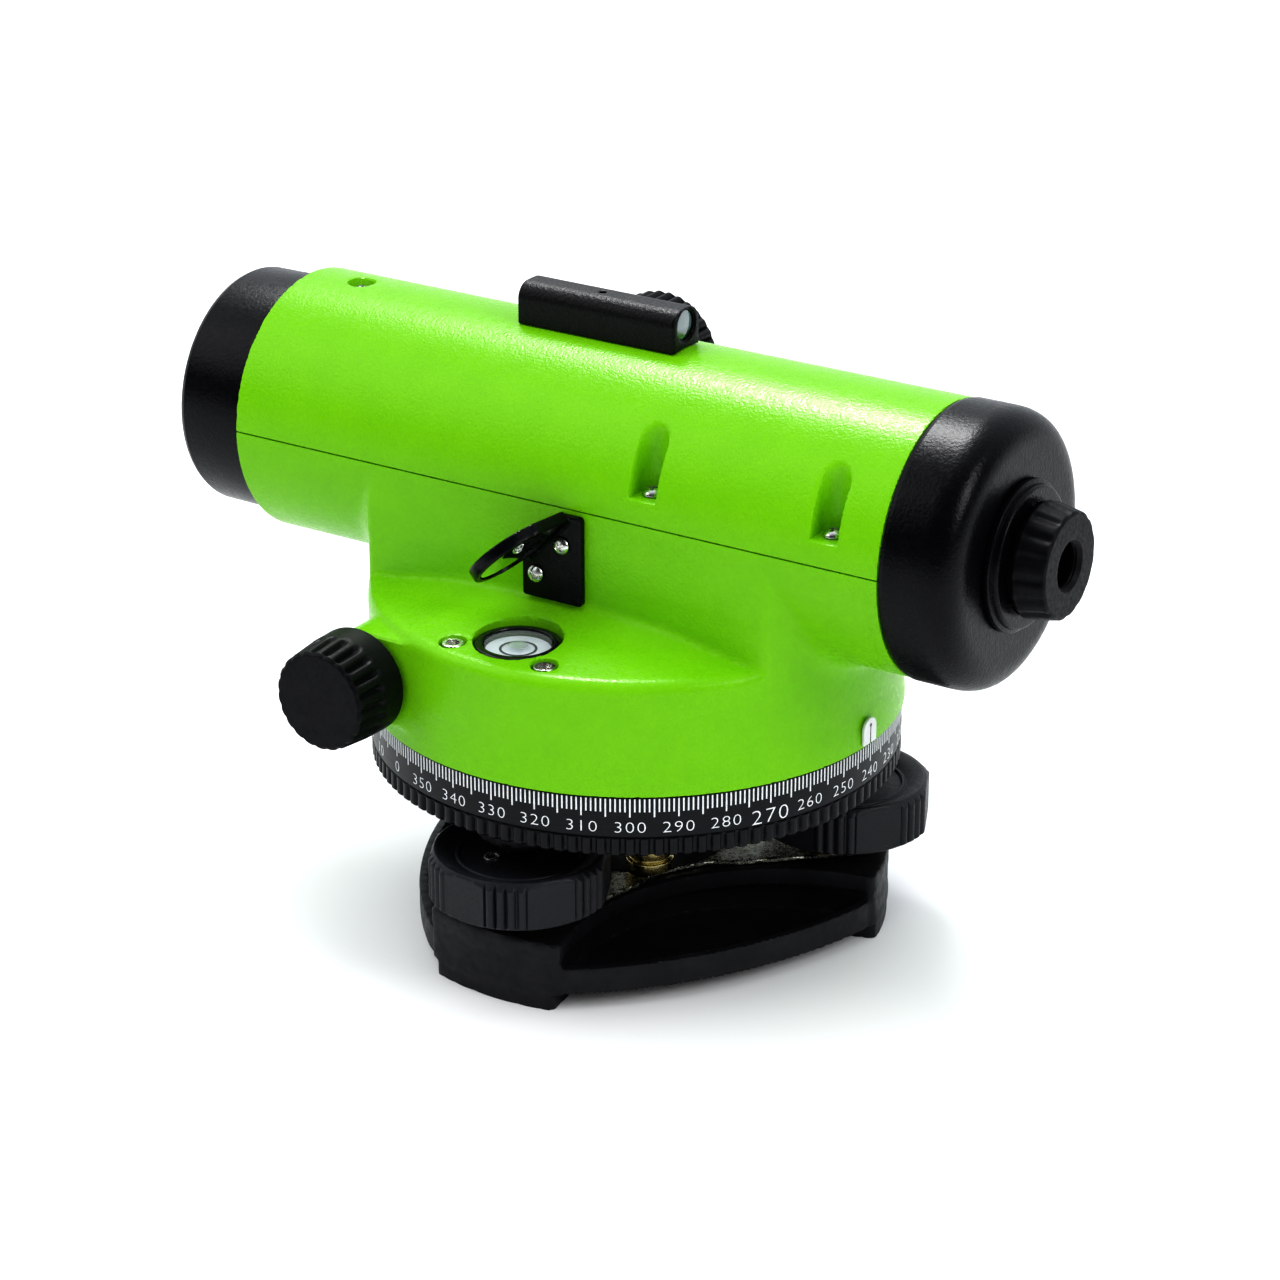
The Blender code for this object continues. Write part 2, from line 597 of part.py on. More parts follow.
def make_upper_cover(parent):
    """The green half shell over the telescope, with its screw slots and shaft hole."""
    split = PARTING_Z + GAP
    cover = barrel_half(BARREL_R, BARREL_X0, BARREL_X1, True, split)
    cover = cut(cover, drum(BORE_R, -100 * MM, 100 * MM, FINE, **TELESCOPE))
    for x in SLOT_XS:
        for side in (-1, 1):
            place = (x, side * SLOT_Y, 0)
            pillar = common(
                drum(5.2 * MM, split + 0.05 * MM, 130 * MM, SMALL, origin=place),
                drum(BARREL_R - 0.2 * MM, 0, 80 * MM, FINE, **TELESCOPE),
            )
            cover = union(cover, pillar)
            outward = [(x - SLOT_R, side * SLOT_Y), (x + SLOT_R, side * SLOT_Y),
                       (x + SLOT_R, side * 35 * MM), (x - SLOT_R, side * 35 * MM)]
            cover = cut(cover, drum(SLOT_R, SLOT_Z, 140 * MM, SMALL, origin=place),
                        prism(outward, SLOT_Z, 130 * MM),
                        drum(SCREW_HOLE_R, 100 * MM, 120 * MM, TINY, origin=place))
    top = (TOP_SCREW_X, 0, 0)
    pad = common(drum(6.0 * MM, 122 * MM, 140 * MM, SMALL, origin=top),
                 drum(BARREL_R - 0.2 * MM, -80 * MM, -60 * MM, FINE, **TELESCOPE))
    cover = union(cover, pad)
    cover = cut(cover, drum(3.0 * MM, TOP_SCREW_Z, 140 * MM, SMALL, origin=top),
                drum(SCREW_HOLE_R, 110 * MM, 140 * MM, TINY, origin=top))
    boss = drum(FOCUS_BOSS_R, 26.4 * MM, FOCUS_KNOB_Y0 - GAP, SMALL, **along_y(FOCUS_X, FOCUS_Z))
    shaft_hole = drum(3.6 * MM, 0, 40 * MM, SMALL, **along_y(FOCUS_X, FOCUS_Z))
    cover = cut(union(cover, boss), shaft_hole)
    finish_object("upper_cover", cover, "green_paint", parent)


def screw_mesh(head_r, head_h, shank_r, length, **place):
    """A pan-head screw: a low domed head at local +Z over a plain shank."""
    profile = [(0, -length), (shank_r, -length), (shank_r, 0), (head_r, 0),
               (head_r, head_h * 0.5), (head_r * 0.7, head_h), (0, head_h)]
    return turned(profile, TINY, **place)


def make_fasteners(parent):
    """Cover screws, bubble adjusters, and the mirror bracket's screws."""
    number = 1
    for x in SLOT_XS:
        for side in (-1, 1):
            screw = screw_mesh(2.3 * MM, 1.5 * MM, 1.2 * MM, 11 * MM,
                               origin=(x, side * SLOT_Y, SLOT_Z + GAP))
            finish_object("cover_screw_%d" % number, screw, "bright_steel", parent)
            number += 1
    top = screw_mesh(2.3 * MM, 1.3 * MM, 1.2 * MM, 5 * MM,
                     origin=(TOP_SCREW_X, 0, TOP_SCREW_Z + GAP))
    finish_object("cover_screw_5", top, "bright_steel", parent)
    for number, (x, y) in enumerate(ADJUSTER_PLACES, start=1):
        socket = turned([(0, 75.3 * MM), (2.2 * MM, 75.3 * MM), (2.2 * MM, 77.2 * MM),
                         (1.3 * MM, 77.2 * MM), (1.3 * MM, 76.2 * MM), (0, 76.2 * MM)],
                        TINY, origin=(x, y, 0))
        finish_object("bubble_adjuster_%d" % number, socket, "bright_steel", parent)
    for number, (x, z) in enumerate(BRACKET_SCREW_PLACES, start=1):
        face_y = -BARREL_R - GAP - 1.5 * MM - GAP
        screw = screw_mesh(1.9 * MM, 1.0 * MM, 1.1 * MM, 5 * MM,
                           axis=(0, -1, 0), origin=(x, face_y, z))
        finish_object("bracket_screw_%d" % number, screw, "bright_steel", parent)


# ---------------------------------------------------------------- bubble, mirror, index, sight
def make_bubble(parent):
    """The circular bubble: a black cup with a glass vial in it."""
    low = 74.8 * MM
    cup_r = BUBBLE_HOLE_R - GAP
    place = {"origin": (BUBBLE_X, BUBBLE_Y, 0)}
    cup = [(0, low), (cup_r, low), (cup_r, BUBBLE_Z1 - 0.3 * MM),
           (cup_r - 0.3 * MM, BUBBLE_Z1), (7.4 * MM, BUBBLE_Z1), (7.4 * MM, low + MM),
           (0, low + MM)]
    finish_object("bubble_cup", turned(cup, MEDIUM, **place), "black_plastic", parent)
    vial = [(0, low + 1.3 * MM), (7.1 * MM, low + 1.3 * MM), (7.1 * MM, BUBBLE_Z1 - 0.6 * MM),
            (4.0 * MM, BUBBLE_Z1 - 0.2 * MM), (0, BUBBLE_Z1)]
    finish_object("bubble_vial", turned(vial, MEDIUM, **place), "clear_glass", parent)


def make_mirror(parent):
    """The bubble mirror: a plate on the pedestal's wall that carries a round frame."""
    thick = 1.5 * MM
    back_y = -BARREL_R - GAP
    x0, x1 = -9.4 * MM, 5.7 * MM
    z0, z1 = 83.0 * MM, 102.2 * MM
    bracket = block((x0, back_y - thick, z0), (x1, back_y, z1))
    turn = frame_to(MIRROR_NORMAL, MIRROR_CENTRE)
    frame_r = MIRROR_R + 1.4 * MM
    deep = 2.6 * MM
    rim = turned([(0, -deep), (frame_r, -deep), (frame_r, 0.3 * MM), (MIRROR_R + GAP, 0.3 * MM),
                  (MIRROR_R + GAP, -1.2 * MM), (0, -1.2 * MM)], MEDIUM)
    rim.transform(turn)
    local_wall = turn.to_3x3().inverted() @ Vector((0, 1, 0))
    heading = Vector((local_wall.x, local_wall.y, 0)).normalized()
    sideways = Vector((-heading.y, heading.x, 0))
    uphill = turn.to_3x3() @ sideways
    if uphill.z < 0:
        sideways = -sideways
    root = heading * (MIRROR_R + 0.5 * MM)
    wall_end = heading * 11.5 * MM
    low_side = -sideways * 3 * MM
    high_side = sideways * 7.5 * MM
    corners = [root + low_side, root + high_side, wall_end + high_side, wall_end + low_side]
    web = prism([(p.x, p.y) for p in corners], -deep + 0.2 * MM, -0.4 * MM, turn)
    keep = block((-30 * MM, -60 * MM, 60 * MM), (30 * MM, back_y - 0.4 * MM, 120 * MM))
    web = common(web, keep)
    bracket = union(bracket, rim, web)
    bracket = cut(bracket, block((-30 * MM, back_y, 60 * MM), (30 * MM, 0, 120 * MM)))
    for x, z in BRACKET_SCREW_PLACES:
        bracket = cut(bracket, drum(1.4 * MM, -34 * MM, -28 * MM, TINY, **along_y(x, z)))
    finish_object("mirror_bracket", bracket, "black_paint", parent)
    glass = drum(MIRROR_R, -0.9 * MM, 0.1 * MM, MEDIUM)
    glass.transform(turn)
    finish_object("mirror_glass", glass, "mirror_silver", parent)


def make_index(parent):
    """The index tab for the graduated circle, on the skirt under the eyepiece."""
    angle = math.radians(-0.9)
    half = 2.5 * MM
    low, high = 53.2 * MM, 59.0 * MM
    outline = [(-half, low), (half, low)] + arc((0, high - half), half, 0, 180, 8)
    outward = Matrix.Rotation(angle, 4, "Z") @ Matrix.Translation((SKIRT_R + 0.9 * MM, 0, 0))
    tab = prism(outline, 0, 0.5 * MM, outward @ ALONG_X)
    finish_object("index_tab", tab, "silver_label", parent)


def make_sight(parent):
    """The collimating sight on the cover: a body with a bore and a glass at each end."""
    seat_r = BARREL_R + GAP
    edge = math.degrees(math.asin(SIGHT_HALF / seat_r))
    crown = SIGHT_TOP_Z - SIGHT_HALF
    seat = arc((0, AXIS_Z), seat_r, 90 + edge, 90 - edge, 6)
    outline = seat + arc((0, crown), SIGHT_HALF, 0, 180, 12)
    body = prism(outline, SIGHT_X0, SIGHT_X1, ALONG_X)
    line = {"axis": (1, 0, 0), "origin": (0, 0, SIGHT_BORE_Z)}
    body = cut(body, drum(SIGHT_BORE_R, SIGHT_X0 - MM, SIGHT_X1 + MM, SMALL, **line))
    finish_object("sight_body", body, "black_paint", parent)
    rear = drum(SIGHT_BORE_R - GAP, SIGHT_X1 - 2.0 * MM, SIGHT_X1 - 0.8 * MM, SMALL, **line)
    finish_object("sight_window", rear, "coated_glass", parent)
    front = drum(SIGHT_BORE_R - GAP, SIGHT_X0 + 0.8 * MM, SIGHT_X0 + 2.0 * MM, SMALL, **line)
    finish_object("sight_lens", front, "coated_glass", parent)


# ---------------------------------------------------------------- telescope ends
def make_objective(parent):
    """The black objective ring, which is also the lens hood, and the objective."""
    x0 = -HALF_LENGTH
    shoulder = BARREL_X0 - GAP
    spigot = BARREL_X0 + 6 * MM
    seat_r = 22.2 * MM
    hood_r = 23.6 * MM
    ring = [(seat_r, spigot), (seat_r, shoulder - 6.5 * MM), (hood_r, shoulder - 7.5 * MM),
            (hood_r, x0 + 0.6 * MM), (hood_r + 0.6 * MM, x0), (25.8 * MM, x0),
            (26.6 * MM, x0 + MM), (26.8 * MM, shoulder), (BORE_R - GAP, shoulder),
            (BORE_R - GAP, spigot)]
    finish_object("objective_ring", turned(ring, FINE, **TELESCOPE), "black_paint", parent)
    front = shoulder - 6.0 * MM
    back = shoulder + 2.0 * MM
    edge_r = seat_r - GAP
    lens = [(0, front - 1.6 * MM), (12 * MM, front - 1.1 * MM), (edge_r, front + MM),
            (edge_r, back), (0, back + 0.8 * MM)]
    finish_object("objective_lens", turned(lens, MEDIUM, **TELESCOPE), "coated_glass", parent)


def make_eyepiece_end(parent):
    """The black end cap, its collar, and the reticle behind them."""
    wall = 2.6 * MM
    spigot_r = BORE_R - GAP
    spigot_x = CAP_X0 - 6 * MM
    inner_r = spigot_r - 2.4 * MM
    back_x = CAP_FACE_X - wall
    hole_r = 13.0 * MM
    outer = [(CAP_R, CAP_X0)]
    outer += arc((CAP_R - CAP_ROUND, CAP_FACE_X - CAP_ROUND), CAP_ROUND, 0, 90, 4)
    inside = [(hole_r, CAP_FACE_X), (hole_r, back_x), (inner_r - 2.5 * MM, back_x),
              (inner_r, back_x - 5 * MM), (inner_r, spigot_x), (spigot_r, spigot_x),
              (spigot_r, CAP_X0)]
    finish_object("eyepiece_cap", turned(outer + inside, FINE, **TELESCOPE), "black_paint", parent)
    face = CAP_FACE_X + GAP
    neck_r = hole_r - GAP
    flange_r = 15.3 * MM
    bore = 10.2 * MM
    collar = [(bore, 80 * MM), (neck_r, 80 * MM), (neck_r, face), (flange_r, face),
              (flange_r, 93.9 * MM), (flange_r - 0.5 * MM, 94.4 * MM), (bore, 94.4 * MM)]
    finish_object("eyepiece_collar", turned(collar, MEDIUM, **TELESCOPE), "black_paint", parent)
    reticle = [(0, 60 * MM), (9 * MM, 60 * MM), (9 * MM, 62 * MM), (0, 62 * MM)]
    finish_object("reticle", turned(reticle, SMALL, **TELESCOPE), "clear_glass", parent)
    holder = [(9.3 * MM, 58 * MM), (14 * MM, 58 * MM), (14 * MM, 78 * MM), (10.6 * MM, 78 * MM),
              (10.6 * MM, 64 * MM), (9.3 * MM, 64 * MM)]
    tube = turned(holder, MEDIUM, **TELESCOPE)
    post = block((59 * MM, -4 * MM, 73 * MM), (68 * MM, 4 * MM, 90 * MM))
    post = common(post, drum(BORE_R - GAP, 50 * MM, 80 * MM, FINE, **TELESCOPE))
    finish_object("reticle_tube", union(tube, post), "dark_aluminium", parent)


def make_eyepiece(parent):
    """The eyepiece ring that the eye focuses with, and the ocular that it drives."""
    turning = pivot("eyepiece_pivot", (EYEPIECE_PIVOT_X, 0, AXIS_Z))
    bore = 8.3 * MM
    neck_r = 9.9 * MM
    grip_r = 12.4 * MM
    eye_r = 4.9 * MM
    ring = [(bore, 88 * MM), (neck_r, 88 * MM), (neck_r, 96.2 * MM), (grip_r, 96.2 * MM),
            (grip_r, 98 * MM), (11.5 * MM, HALF_LENGTH - 0.5 * MM), (11.0 * MM, HALF_LENGTH),
            (eye_r, HALF_LENGTH), (eye_r, 101.2 * MM), (bore, 101.2 * MM)]
    finish_object("eyepiece_ring", turned(ring, MEDIUM, **TELESCOPE), "black_plastic", turning)
    cell = [(5.8 * MM, 82 * MM), (8.0 * MM, 82 * MM), (8.0 * MM, 99 * MM), (6.0 * MM, 99 * MM),
            (6.0 * MM, 98 * MM), (5.8 * MM, 98 * MM)]
    finish_object("ocular_cell", turned(cell, SMALL, **TELESCOPE), "dark_aluminium", parent)
    lens = [(0, 95.5 * MM), (5.5 * MM, 95 * MM), (5.5 * MM, 97 * MM), (0, 98 * MM)]
    finish_object("ocular_lens", turned(lens, SMALL, **TELESCOPE), "coated_glass", parent)


# ---------------------------------------------------------------- inner works
def gear_outline(teeth, root_r, tip_r, start):
    """A closed outline with straight-flanked teeth; a tooth's middle is at angle start."""
    points = []
    step = 360.0 / teeth
    for i in range(teeth):
        middle = start + i * step
        for offset, radius in ((-0.30, root_r), (-0.13, tip_r), (0.13, tip_r), (0.30, root_r)):
            angle = math.radians(middle + offset * step)
            points.append((radius * math.cos(angle), radius * math.sin(angle)))
    return points


def make_vertical_axis(parent):
    """The spindle under the body, and the worm wheel that clamps on the sleeve."""
    spindle = [(0, 31 * MM), (8.0 * MM, 31 * MM), (8.0 * MM, 68.7 * MM), (16 * MM, 68.7 * MM),
               (16 * MM, CEILING_Z - GAP), (0, CEILING_Z - GAP)]
    finish_object("vertical_spindle", turned(spindle, MEDIUM), "bright_steel", parent)
    wheel_pivot = pivot("worm_wheel_pivot", (0, 0, DRIVE_Z))
    tip_r = WHEEL_PITCH_R + 0.6 * MM
    root_r = WHEEL_PITCH_R - 1.2 * MM
    half = 2.0 * MM
    start = 180.0 + 180.0 / WHEEL_TEETH
    outline = gear_outline(WHEEL_TEETH, root_r, tip_r, start)
    wheel = prism(outline, DRIVE_Z - half, DRIVE_Z + half)
    wheel = cut(wheel, drum(SLEEVE_R + 0.4 * MM, 50 * MM, 80 * MM, MEDIUM))
    finish_object("worm_wheel", wheel, "brass", wheel_pivot)


def make_worm(core_r, tip_r, turns, per_turn):
    """A right-handed worm along local Z, its thread crossing local +X at z = 0."""
    half_root = 0.75 * MM
    half_tip = 0.35 * MM
    section = [(core_r, -half_root), (tip_r, -half_tip), (tip_r, half_tip), (core_r, half_root)]
    sunk = [(core_r - 0.5 * MM, -half_root * 0.9), (core_r - 0.5 * MM, half_root * 0.9)]
    ring = [sunk[0]] + section + [sunk[1]]
    bm = bmesh.new()
    rows = []
    count = int(turns * per_turn)
    for i in range(count + 1):
        angle = 2 * math.pi * (i / per_turn - turns / 2)
        rise = WORM_LEAD * angle / (2 * math.pi)
        rows.append([bm.verts.new((radius * math.cos(angle), radius * math.sin(angle), z + rise))
                     for radius, z in ring])
    for first, second in zip(rows, rows[1:]):
        for j in range(len(ring)):
            k = (j + 1) % len(ring)
            bm.faces.new((first[j], first[k], second[k], second[j]))
    bm.faces.new(list(reversed(rows[0])))
    bm.faces.new(rows[-1])
    return mesh_from(bm)


def make_drive():
    """The endless slow-motion drive: a shaft with its worm, and a knob at each end."""
    turning = pivot("drive_pivot", (DRIVE_X, 0, DRIVE_Z))
    core_r = WORM_PITCH_R - 1.4 * MM
    tip_r = WORM_PITCH_R + 0.5 * MM
    reach = 10 * MM
    end = HALF_WIDTH - 4 * MM
    shaft = turned([(0, -end), (DRIVE_SHAFT_R, -end), (DRIVE_SHAFT_R, -reach), (core_r, -reach),
                    (core_r, reach), (DRIVE_SHAFT_R, reach), (DRIVE_SHAFT_R, end), (0, end)], SMALL)
    shaft = union(shaft, make_worm(core_r, tip_r, 3, 12))
    lay = Matrix(((1, 0, 0, DRIVE_X), (0, 0, 1, 0), (0, -1, 0, DRIVE_Z), (0, 0, 0, 1)))
    shaft.transform(lay)
    finish_object("drive_shaft", shaft, "bright_steel", turning)
    inner = 55.0 * MM
    bore = DRIVE_SHAFT_R + GAP
    knob = [(bore, inner), (11.4 * MM, inner), (12.4 * MM, inner + MM), (12.2 * MM, 60 * MM),
            (10.9 * MM, HALF_WIDTH - 0.6 * MM), (10.4 * MM, HALF_WIDTH), (0, HALF_WIDTH),
            (0, end + GAP), (bore, end + GAP)]
    for name, side in (("drive_knob_left", -1), ("drive_knob_right", 1)):
        mesh = turned(knob, MEDIUM, (0, side, 0), (DRIVE_X, 0, DRIVE_Z))
        finish_object(name, mesh, "black_plastic", turning)


def make_focusing(parent):
    """The focusing knob and pinion, and the lens cell that its rack slides."""
    turning = pivot("focus_pivot", (FOCUS_X, 0, FOCUS_Z))
    bore = 3.0 * MM + GAP
    inner, outer = FOCUS_KNOB_Y0, FOCUS_KNOB_Y1
    knob = [(bore, inner), (FOCUS_KNOB_R - MM, inner), (FOCUS_KNOB_R, inner + MM),
            (FOCUS_KNOB_R, outer - 1.5 * MM), (FOCUS_KNOB_R - 1.5 * MM, outer), (0, outer),
            (0, outer - 3 * MM), (bore, outer - 3 * MM)]
    finish_object("focus_knob", turned(knob, MEDIUM, **along_y(FOCUS_X, FOCUS_Z)),
                  "black_plastic", turning)
    stand = Matrix(((1, 0, 0, FOCUS_X), (0, 0, 1, 0), (0, -1, 0, FOCUS_Z), (0, 0, 0, 1)))
    teeth = prism(gear_outline(PINION_TEETH, PINION_R - 0.6 * MM, PINION_R + 0.35 * MM, 90.0),
                  14.6 * MM, 19.0 * MM, stand)
    shaft = drum(3.0 * MM, 18.9 * MM, outer - 3 * MM - GAP, SMALL, **along_y(FOCUS_X, FOCUS_Z))
    finish_object("focus_pinion", union(teeth, shaft), "bright_steel", turning)

    cell_r = 12.0 * MM
    x0, x1 = -34 * MM, -18 * MM
    cell = turned([(10.3 * MM, x0), (cell_r, x0), (cell_r, x1), (9.0 * MM, x1),
                   (9.0 * MM, x1 - 2 * MM), (10.3 * MM, x1 - 2 * MM)], MEDIUM, **TELESCOPE)
    lift = FOCUS_Z - PINION_R
    count = 18
    rack_x0 = FOCUS_X - count / 2 * RACK_PITCH
    root_z = lift - 0.6 * MM
    tip_z = lift + 0.3 * MM
    outline = [(rack_x0, lift - 4 * MM), (rack_x0 + count * RACK_PITCH, lift - 4 * MM)]
    for i in reversed(range(count)):
        for share, z in ((0.80, root_z), (0.63, tip_z), (0.37, tip_z), (0.20, root_z)):
            outline.append((rack_x0 + (i + share) * RACK_PITCH, z))
    rack = prism(outline, 14.8 * MM, 18.8 * MM, ALONG_Y)
    web = block((x0 + 2 * MM, 11 * MM, lift - 3.6 * MM), (x1 - 2 * MM, 15.5 * MM, lift - 1.2 * MM))
    finish_object("focus_cell", union(cell, web, rack), "dark_aluminium", parent)
    lens = [(0, x0 + 3 * MM), (10 * MM, x0 + 2 * MM), (10 * MM, x0 + 7 * MM), (0, x0 + 5 * MM)]
    finish_object("focus_lens", turned(lens, SMALL, **TELESCOPE), "coated_glass", parent)

    guide = turned([(12.4 * MM, -68 * MM), (14 * MM, -68 * MM), (14 * MM, 4 * MM),
                    (12.4 * MM, 4 * MM)], MEDIUM, **TELESCOPE)
    slot = block((-48 * MM, 6 * MM, lift - 4.6 * MM), (2 * MM, 16 * MM, lift - 0.4 * MM))
    guide = cut(guide, slot)
    post = common(block((-66 * MM, -4 * MM, 70 * MM), (-54 * MM, 4 * MM, 89.4 * MM)),
                  drum(BORE_R - GAP, -80 * MM, 0, FINE, **TELESCOPE))
    finish_object("guide_tube", union(guide, post), "dark_aluminium", parent)


def make_compensator(parent):
    """The compensator: a frame on the body's floor and a pendulum with its prism."""
    x0, x1 = 22 * MM, 42 * MM
    half = 13 * MM
    frame = block((x0, -half, FLOOR_TOP_Z + GAP), (x1, half, FLOOR_TOP_Z + 4 * MM))
    top = 118 * MM
    middle = (x0 + x1) / 2
    for low_y in (-half, half - 2 * MM):
        wall = block((x0 + 6 * MM, low_y, FLOOR_TOP_Z + MM), (x1 - 6 * MM, low_y + 2 * MM, top))
        frame = union(frame, wall)
    hole = drum(1.3 * MM, -half - MM, half + MM, TINY, **along_y(middle, top - 4 * MM))
    finish_object("compensator_frame", cut(frame, hole), "dark_aluminium", parent)

    swing = pivot("pendulum_pivot", (middle, 0, top - 4 * MM))
    axle = drum(1.0 * MM, -half - MM, half + MM, TINY, **along_y(middle, top - 4 * MM))
    inner = half - 3 * MM
    cross = block((middle - 2.5 * MM, -inner, top - 7 * MM), (middle + 2.5 * MM, inner, top - MM))
    arms = []
    for low_y in (-inner, inner - 2 * MM):
        arms.append(block((middle - 3 * MM, low_y, 88 * MM),
                          (middle + 3 * MM, low_y + 2 * MM, top - 2 * MM)))
    tray = block((middle - 8 * MM, -inner, 84 * MM), (middle + 8 * MM, inner, 90 * MM))
    pendulum = union(cross, axle, arms[0], arms[1], tray)
    finish_object("pendulum", pendulum, "brass", swing)
    prism_half = inner - 2.6 * MM
    wedge = [(middle - 8 * MM, 90.3 * MM), (middle + 8 * MM, 90.3 * MM),
             (middle + 8 * MM, 100 * MM), (middle, 110 * MM), (middle - 8 * MM, 100 * MM)]
    glass = prism(wedge, -prism_half, prism_half, ALONG_Y)
    finish_object("pendulum_prism", glass, "clear_glass", swing)


# ---------------------------------------------------------------- assembly
def main():
    """Build every piece."""
    clear_scene()
    make_base()
    for letter in CORNERS:
        make_foot_screw(letter)
    head = make_levelling_head()
    make_circle(head)
    body = pivot("body_pivot", (0, 0, SKIRT_Z0))
    body.parent = head
    body.matrix_parent_inverse = head.matrix_world.inverted()
    bpy.context.view_layer.update()
    make_vertical_axis(body)
    make_lower_body(body)
    make_upper_cover(body)
    make_fasteners(body)
    make_bubble(body)
    make_mirror(body)
    make_index(body)
    make_sight(body)
    make_objective(body)
    make_eyepiece_end(body)
    make_eyepiece(body)
    make_drive()
    make_focusing(body)
    make_compensator(body)


main()
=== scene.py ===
"""Looks of the automatic level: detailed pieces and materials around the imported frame.

Shapes are worked out in millimetres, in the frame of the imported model: +X from the objective to
the eyepiece, +Z up along the vertical axis, and the circular bubble on the -Y side.
Castings are drawn as distance fields, which give them their fillets, and turned pieces as
outlines with rounded corners.
"""

import json
import math

import bmesh
import bpy
import numpy as np
from mathutils import Matrix, Vector


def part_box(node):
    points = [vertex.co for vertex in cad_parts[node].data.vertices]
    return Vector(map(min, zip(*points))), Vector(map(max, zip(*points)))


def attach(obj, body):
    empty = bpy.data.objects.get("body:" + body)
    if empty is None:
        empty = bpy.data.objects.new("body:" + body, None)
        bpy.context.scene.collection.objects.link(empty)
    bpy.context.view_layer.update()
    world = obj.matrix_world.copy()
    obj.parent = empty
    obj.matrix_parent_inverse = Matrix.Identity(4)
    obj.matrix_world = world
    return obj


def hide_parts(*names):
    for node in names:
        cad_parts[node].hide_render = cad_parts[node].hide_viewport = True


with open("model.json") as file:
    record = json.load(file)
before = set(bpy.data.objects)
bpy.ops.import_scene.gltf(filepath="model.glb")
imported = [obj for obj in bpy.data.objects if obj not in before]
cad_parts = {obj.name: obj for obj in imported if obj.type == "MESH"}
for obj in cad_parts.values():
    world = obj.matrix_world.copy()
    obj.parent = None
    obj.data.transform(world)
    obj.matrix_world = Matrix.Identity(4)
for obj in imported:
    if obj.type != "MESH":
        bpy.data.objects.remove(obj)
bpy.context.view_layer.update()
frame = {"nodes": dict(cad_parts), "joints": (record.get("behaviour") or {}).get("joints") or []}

MM = 0.001


# ---- places read from the frame
def box_mm(node):
    """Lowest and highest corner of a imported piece, in millimetres."""
    low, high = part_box(node)
    return np.array(low) / MM, np.array(high) / MM


def centre_mm(node):
    """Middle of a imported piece's box, in millimetres."""
    low, high = box_mm(node)
    return (low + high) / 2


def joint_mm(name):
    """A joint's place, in millimetres."""
    found = next(joint for joint in frame["joints"] if joint["name"] == name)
    return np.array(found["pos_m"]) / MM


COVER_LOW, COVER_HIGH = box_mm("upper_cover")
AXIS_Z = joint_mm("eyepiece_turn")[2]
BARREL_R = COVER_HIGH[2] - AXIS_Z
BARREL_X0 = COVER_LOW[0]
BARREL_X1 = COVER_HIGH[0]
SHELL = 3.0
BORE_R = BARREL_R - SHELL
GAP = 0.3
SPIGOT_R = BORE_R - GAP

LOWER_LOW, LOWER_HIGH = box_mm("lower_body")
SPLIT_LOW = LOWER_HIGH[2]
SPLIT_HIGH = COVER_LOW[2]
DIAL_LOW, DIAL_HIGH = box_mm("graduated_circle")
DIAL_R = DIAL_HIGH[0]
DIAL_Z0 = DIAL_LOW[2]
DIAL_Z1 = DIAL_HIGH[2]
DIAL_ZERO = math.radians(241.5)
KNURL_LOW_Z = DIAL_Z0 - 0.8
KNURL_TOP_Z = DIAL_Z0 + 3.5
MARK_PROUD = 0.03
SKIRT_R = DIAL_R
SKIRT_Z0 = LOWER_LOW[2]
SKIRT_INNER_R = 54.5
CEILING_Z = 72.8
FLOOR_TOP_Z = 75.8
RIM_R = 56.0
RIM_Z = 77.6
LEDGE_SLOPE = 0.1

DRIVE_X, _, DRIVE_Z = joint_mm("drive_turn")
DRIVE_BOSS_R = 10.0
DRIVE_BOSS_Y = 53.8
FOCUS_X, _, FOCUS_Z = joint_mm("focus_turn")

BUBBLE_LOW, BUBBLE_HIGH = box_mm("bubble_cup")
BUBBLE_X, BUBBLE_Y, _ = (BUBBLE_LOW + BUBBLE_HIGH) / 2
BUBBLE_R = (BUBBLE_HIGH[0] - BUBBLE_LOW[0]) / 2
BUBBLE_HOLE_R = BUBBLE_R + GAP
MIRROR_CENTRE = np.array((-4.3, -40.6, 95.2))
MIRROR_NORMAL = (1.0, -0.12, -1.0)
MIRROR_R = 8.0
SLOT_XS = (19.7, 62.7)
SLOT_Y = 24.2
SLOT_R = 3.2
SLOT_Z = 108.4
TOP_SCREW_X = -71.8
TOP_SCREW_Z = 129.4
SIGHT_LOW, SIGHT_HIGH = box_mm("sight_body")
SIGHT_AXIS_Z = float(sum(corner[2] for corner in box_mm("sight_window")) / 2)
SIGHT_BORE_R = 3.3

BASE_LOW, BASE_HIGH = box_mm("base_casting")
BASE_TOP = BASE_HIGH[2]
SPRING_LOW, SPRING_HIGH = box_mm("spring_plate")
HEAD_LOW, HEAD_HIGH = box_mm("levelling_head")
FLANGE_Z0 = 3.8
FLANGE_Z1 = 9.8
ARM_Z0 = 35.5
ARM_Z1 = 38.6
FOOT_PLACES = {letter: joint_mm("foot_screw_%s_turn" % letter)[:2] for letter in "ABC"}
FOOT_ANGLES = {letter: math.atan2(y, x) for letter, (x, y) in FOOT_PLACES.items()}
FOOT_CIRCLE_R = float(np.hypot(*FOOT_PLACES["A"]))
CORNER_TURN = math.radians(-1.7)
CORNER_R = 55.8
KNOB_LOW, KNOB_HIGH = box_mm("foot_knob_A")
KNOB_R = (KNOB_HIGH[0] - KNOB_LOW[0]) / 2 + 1.2
KNOB_Z0 = KNOB_LOW[2] + 1.35
KNOB_Z1 = KNOB_HIGH[2] + 1.25
KNOB_FLOOR = KNOB_Z1 - 1.8
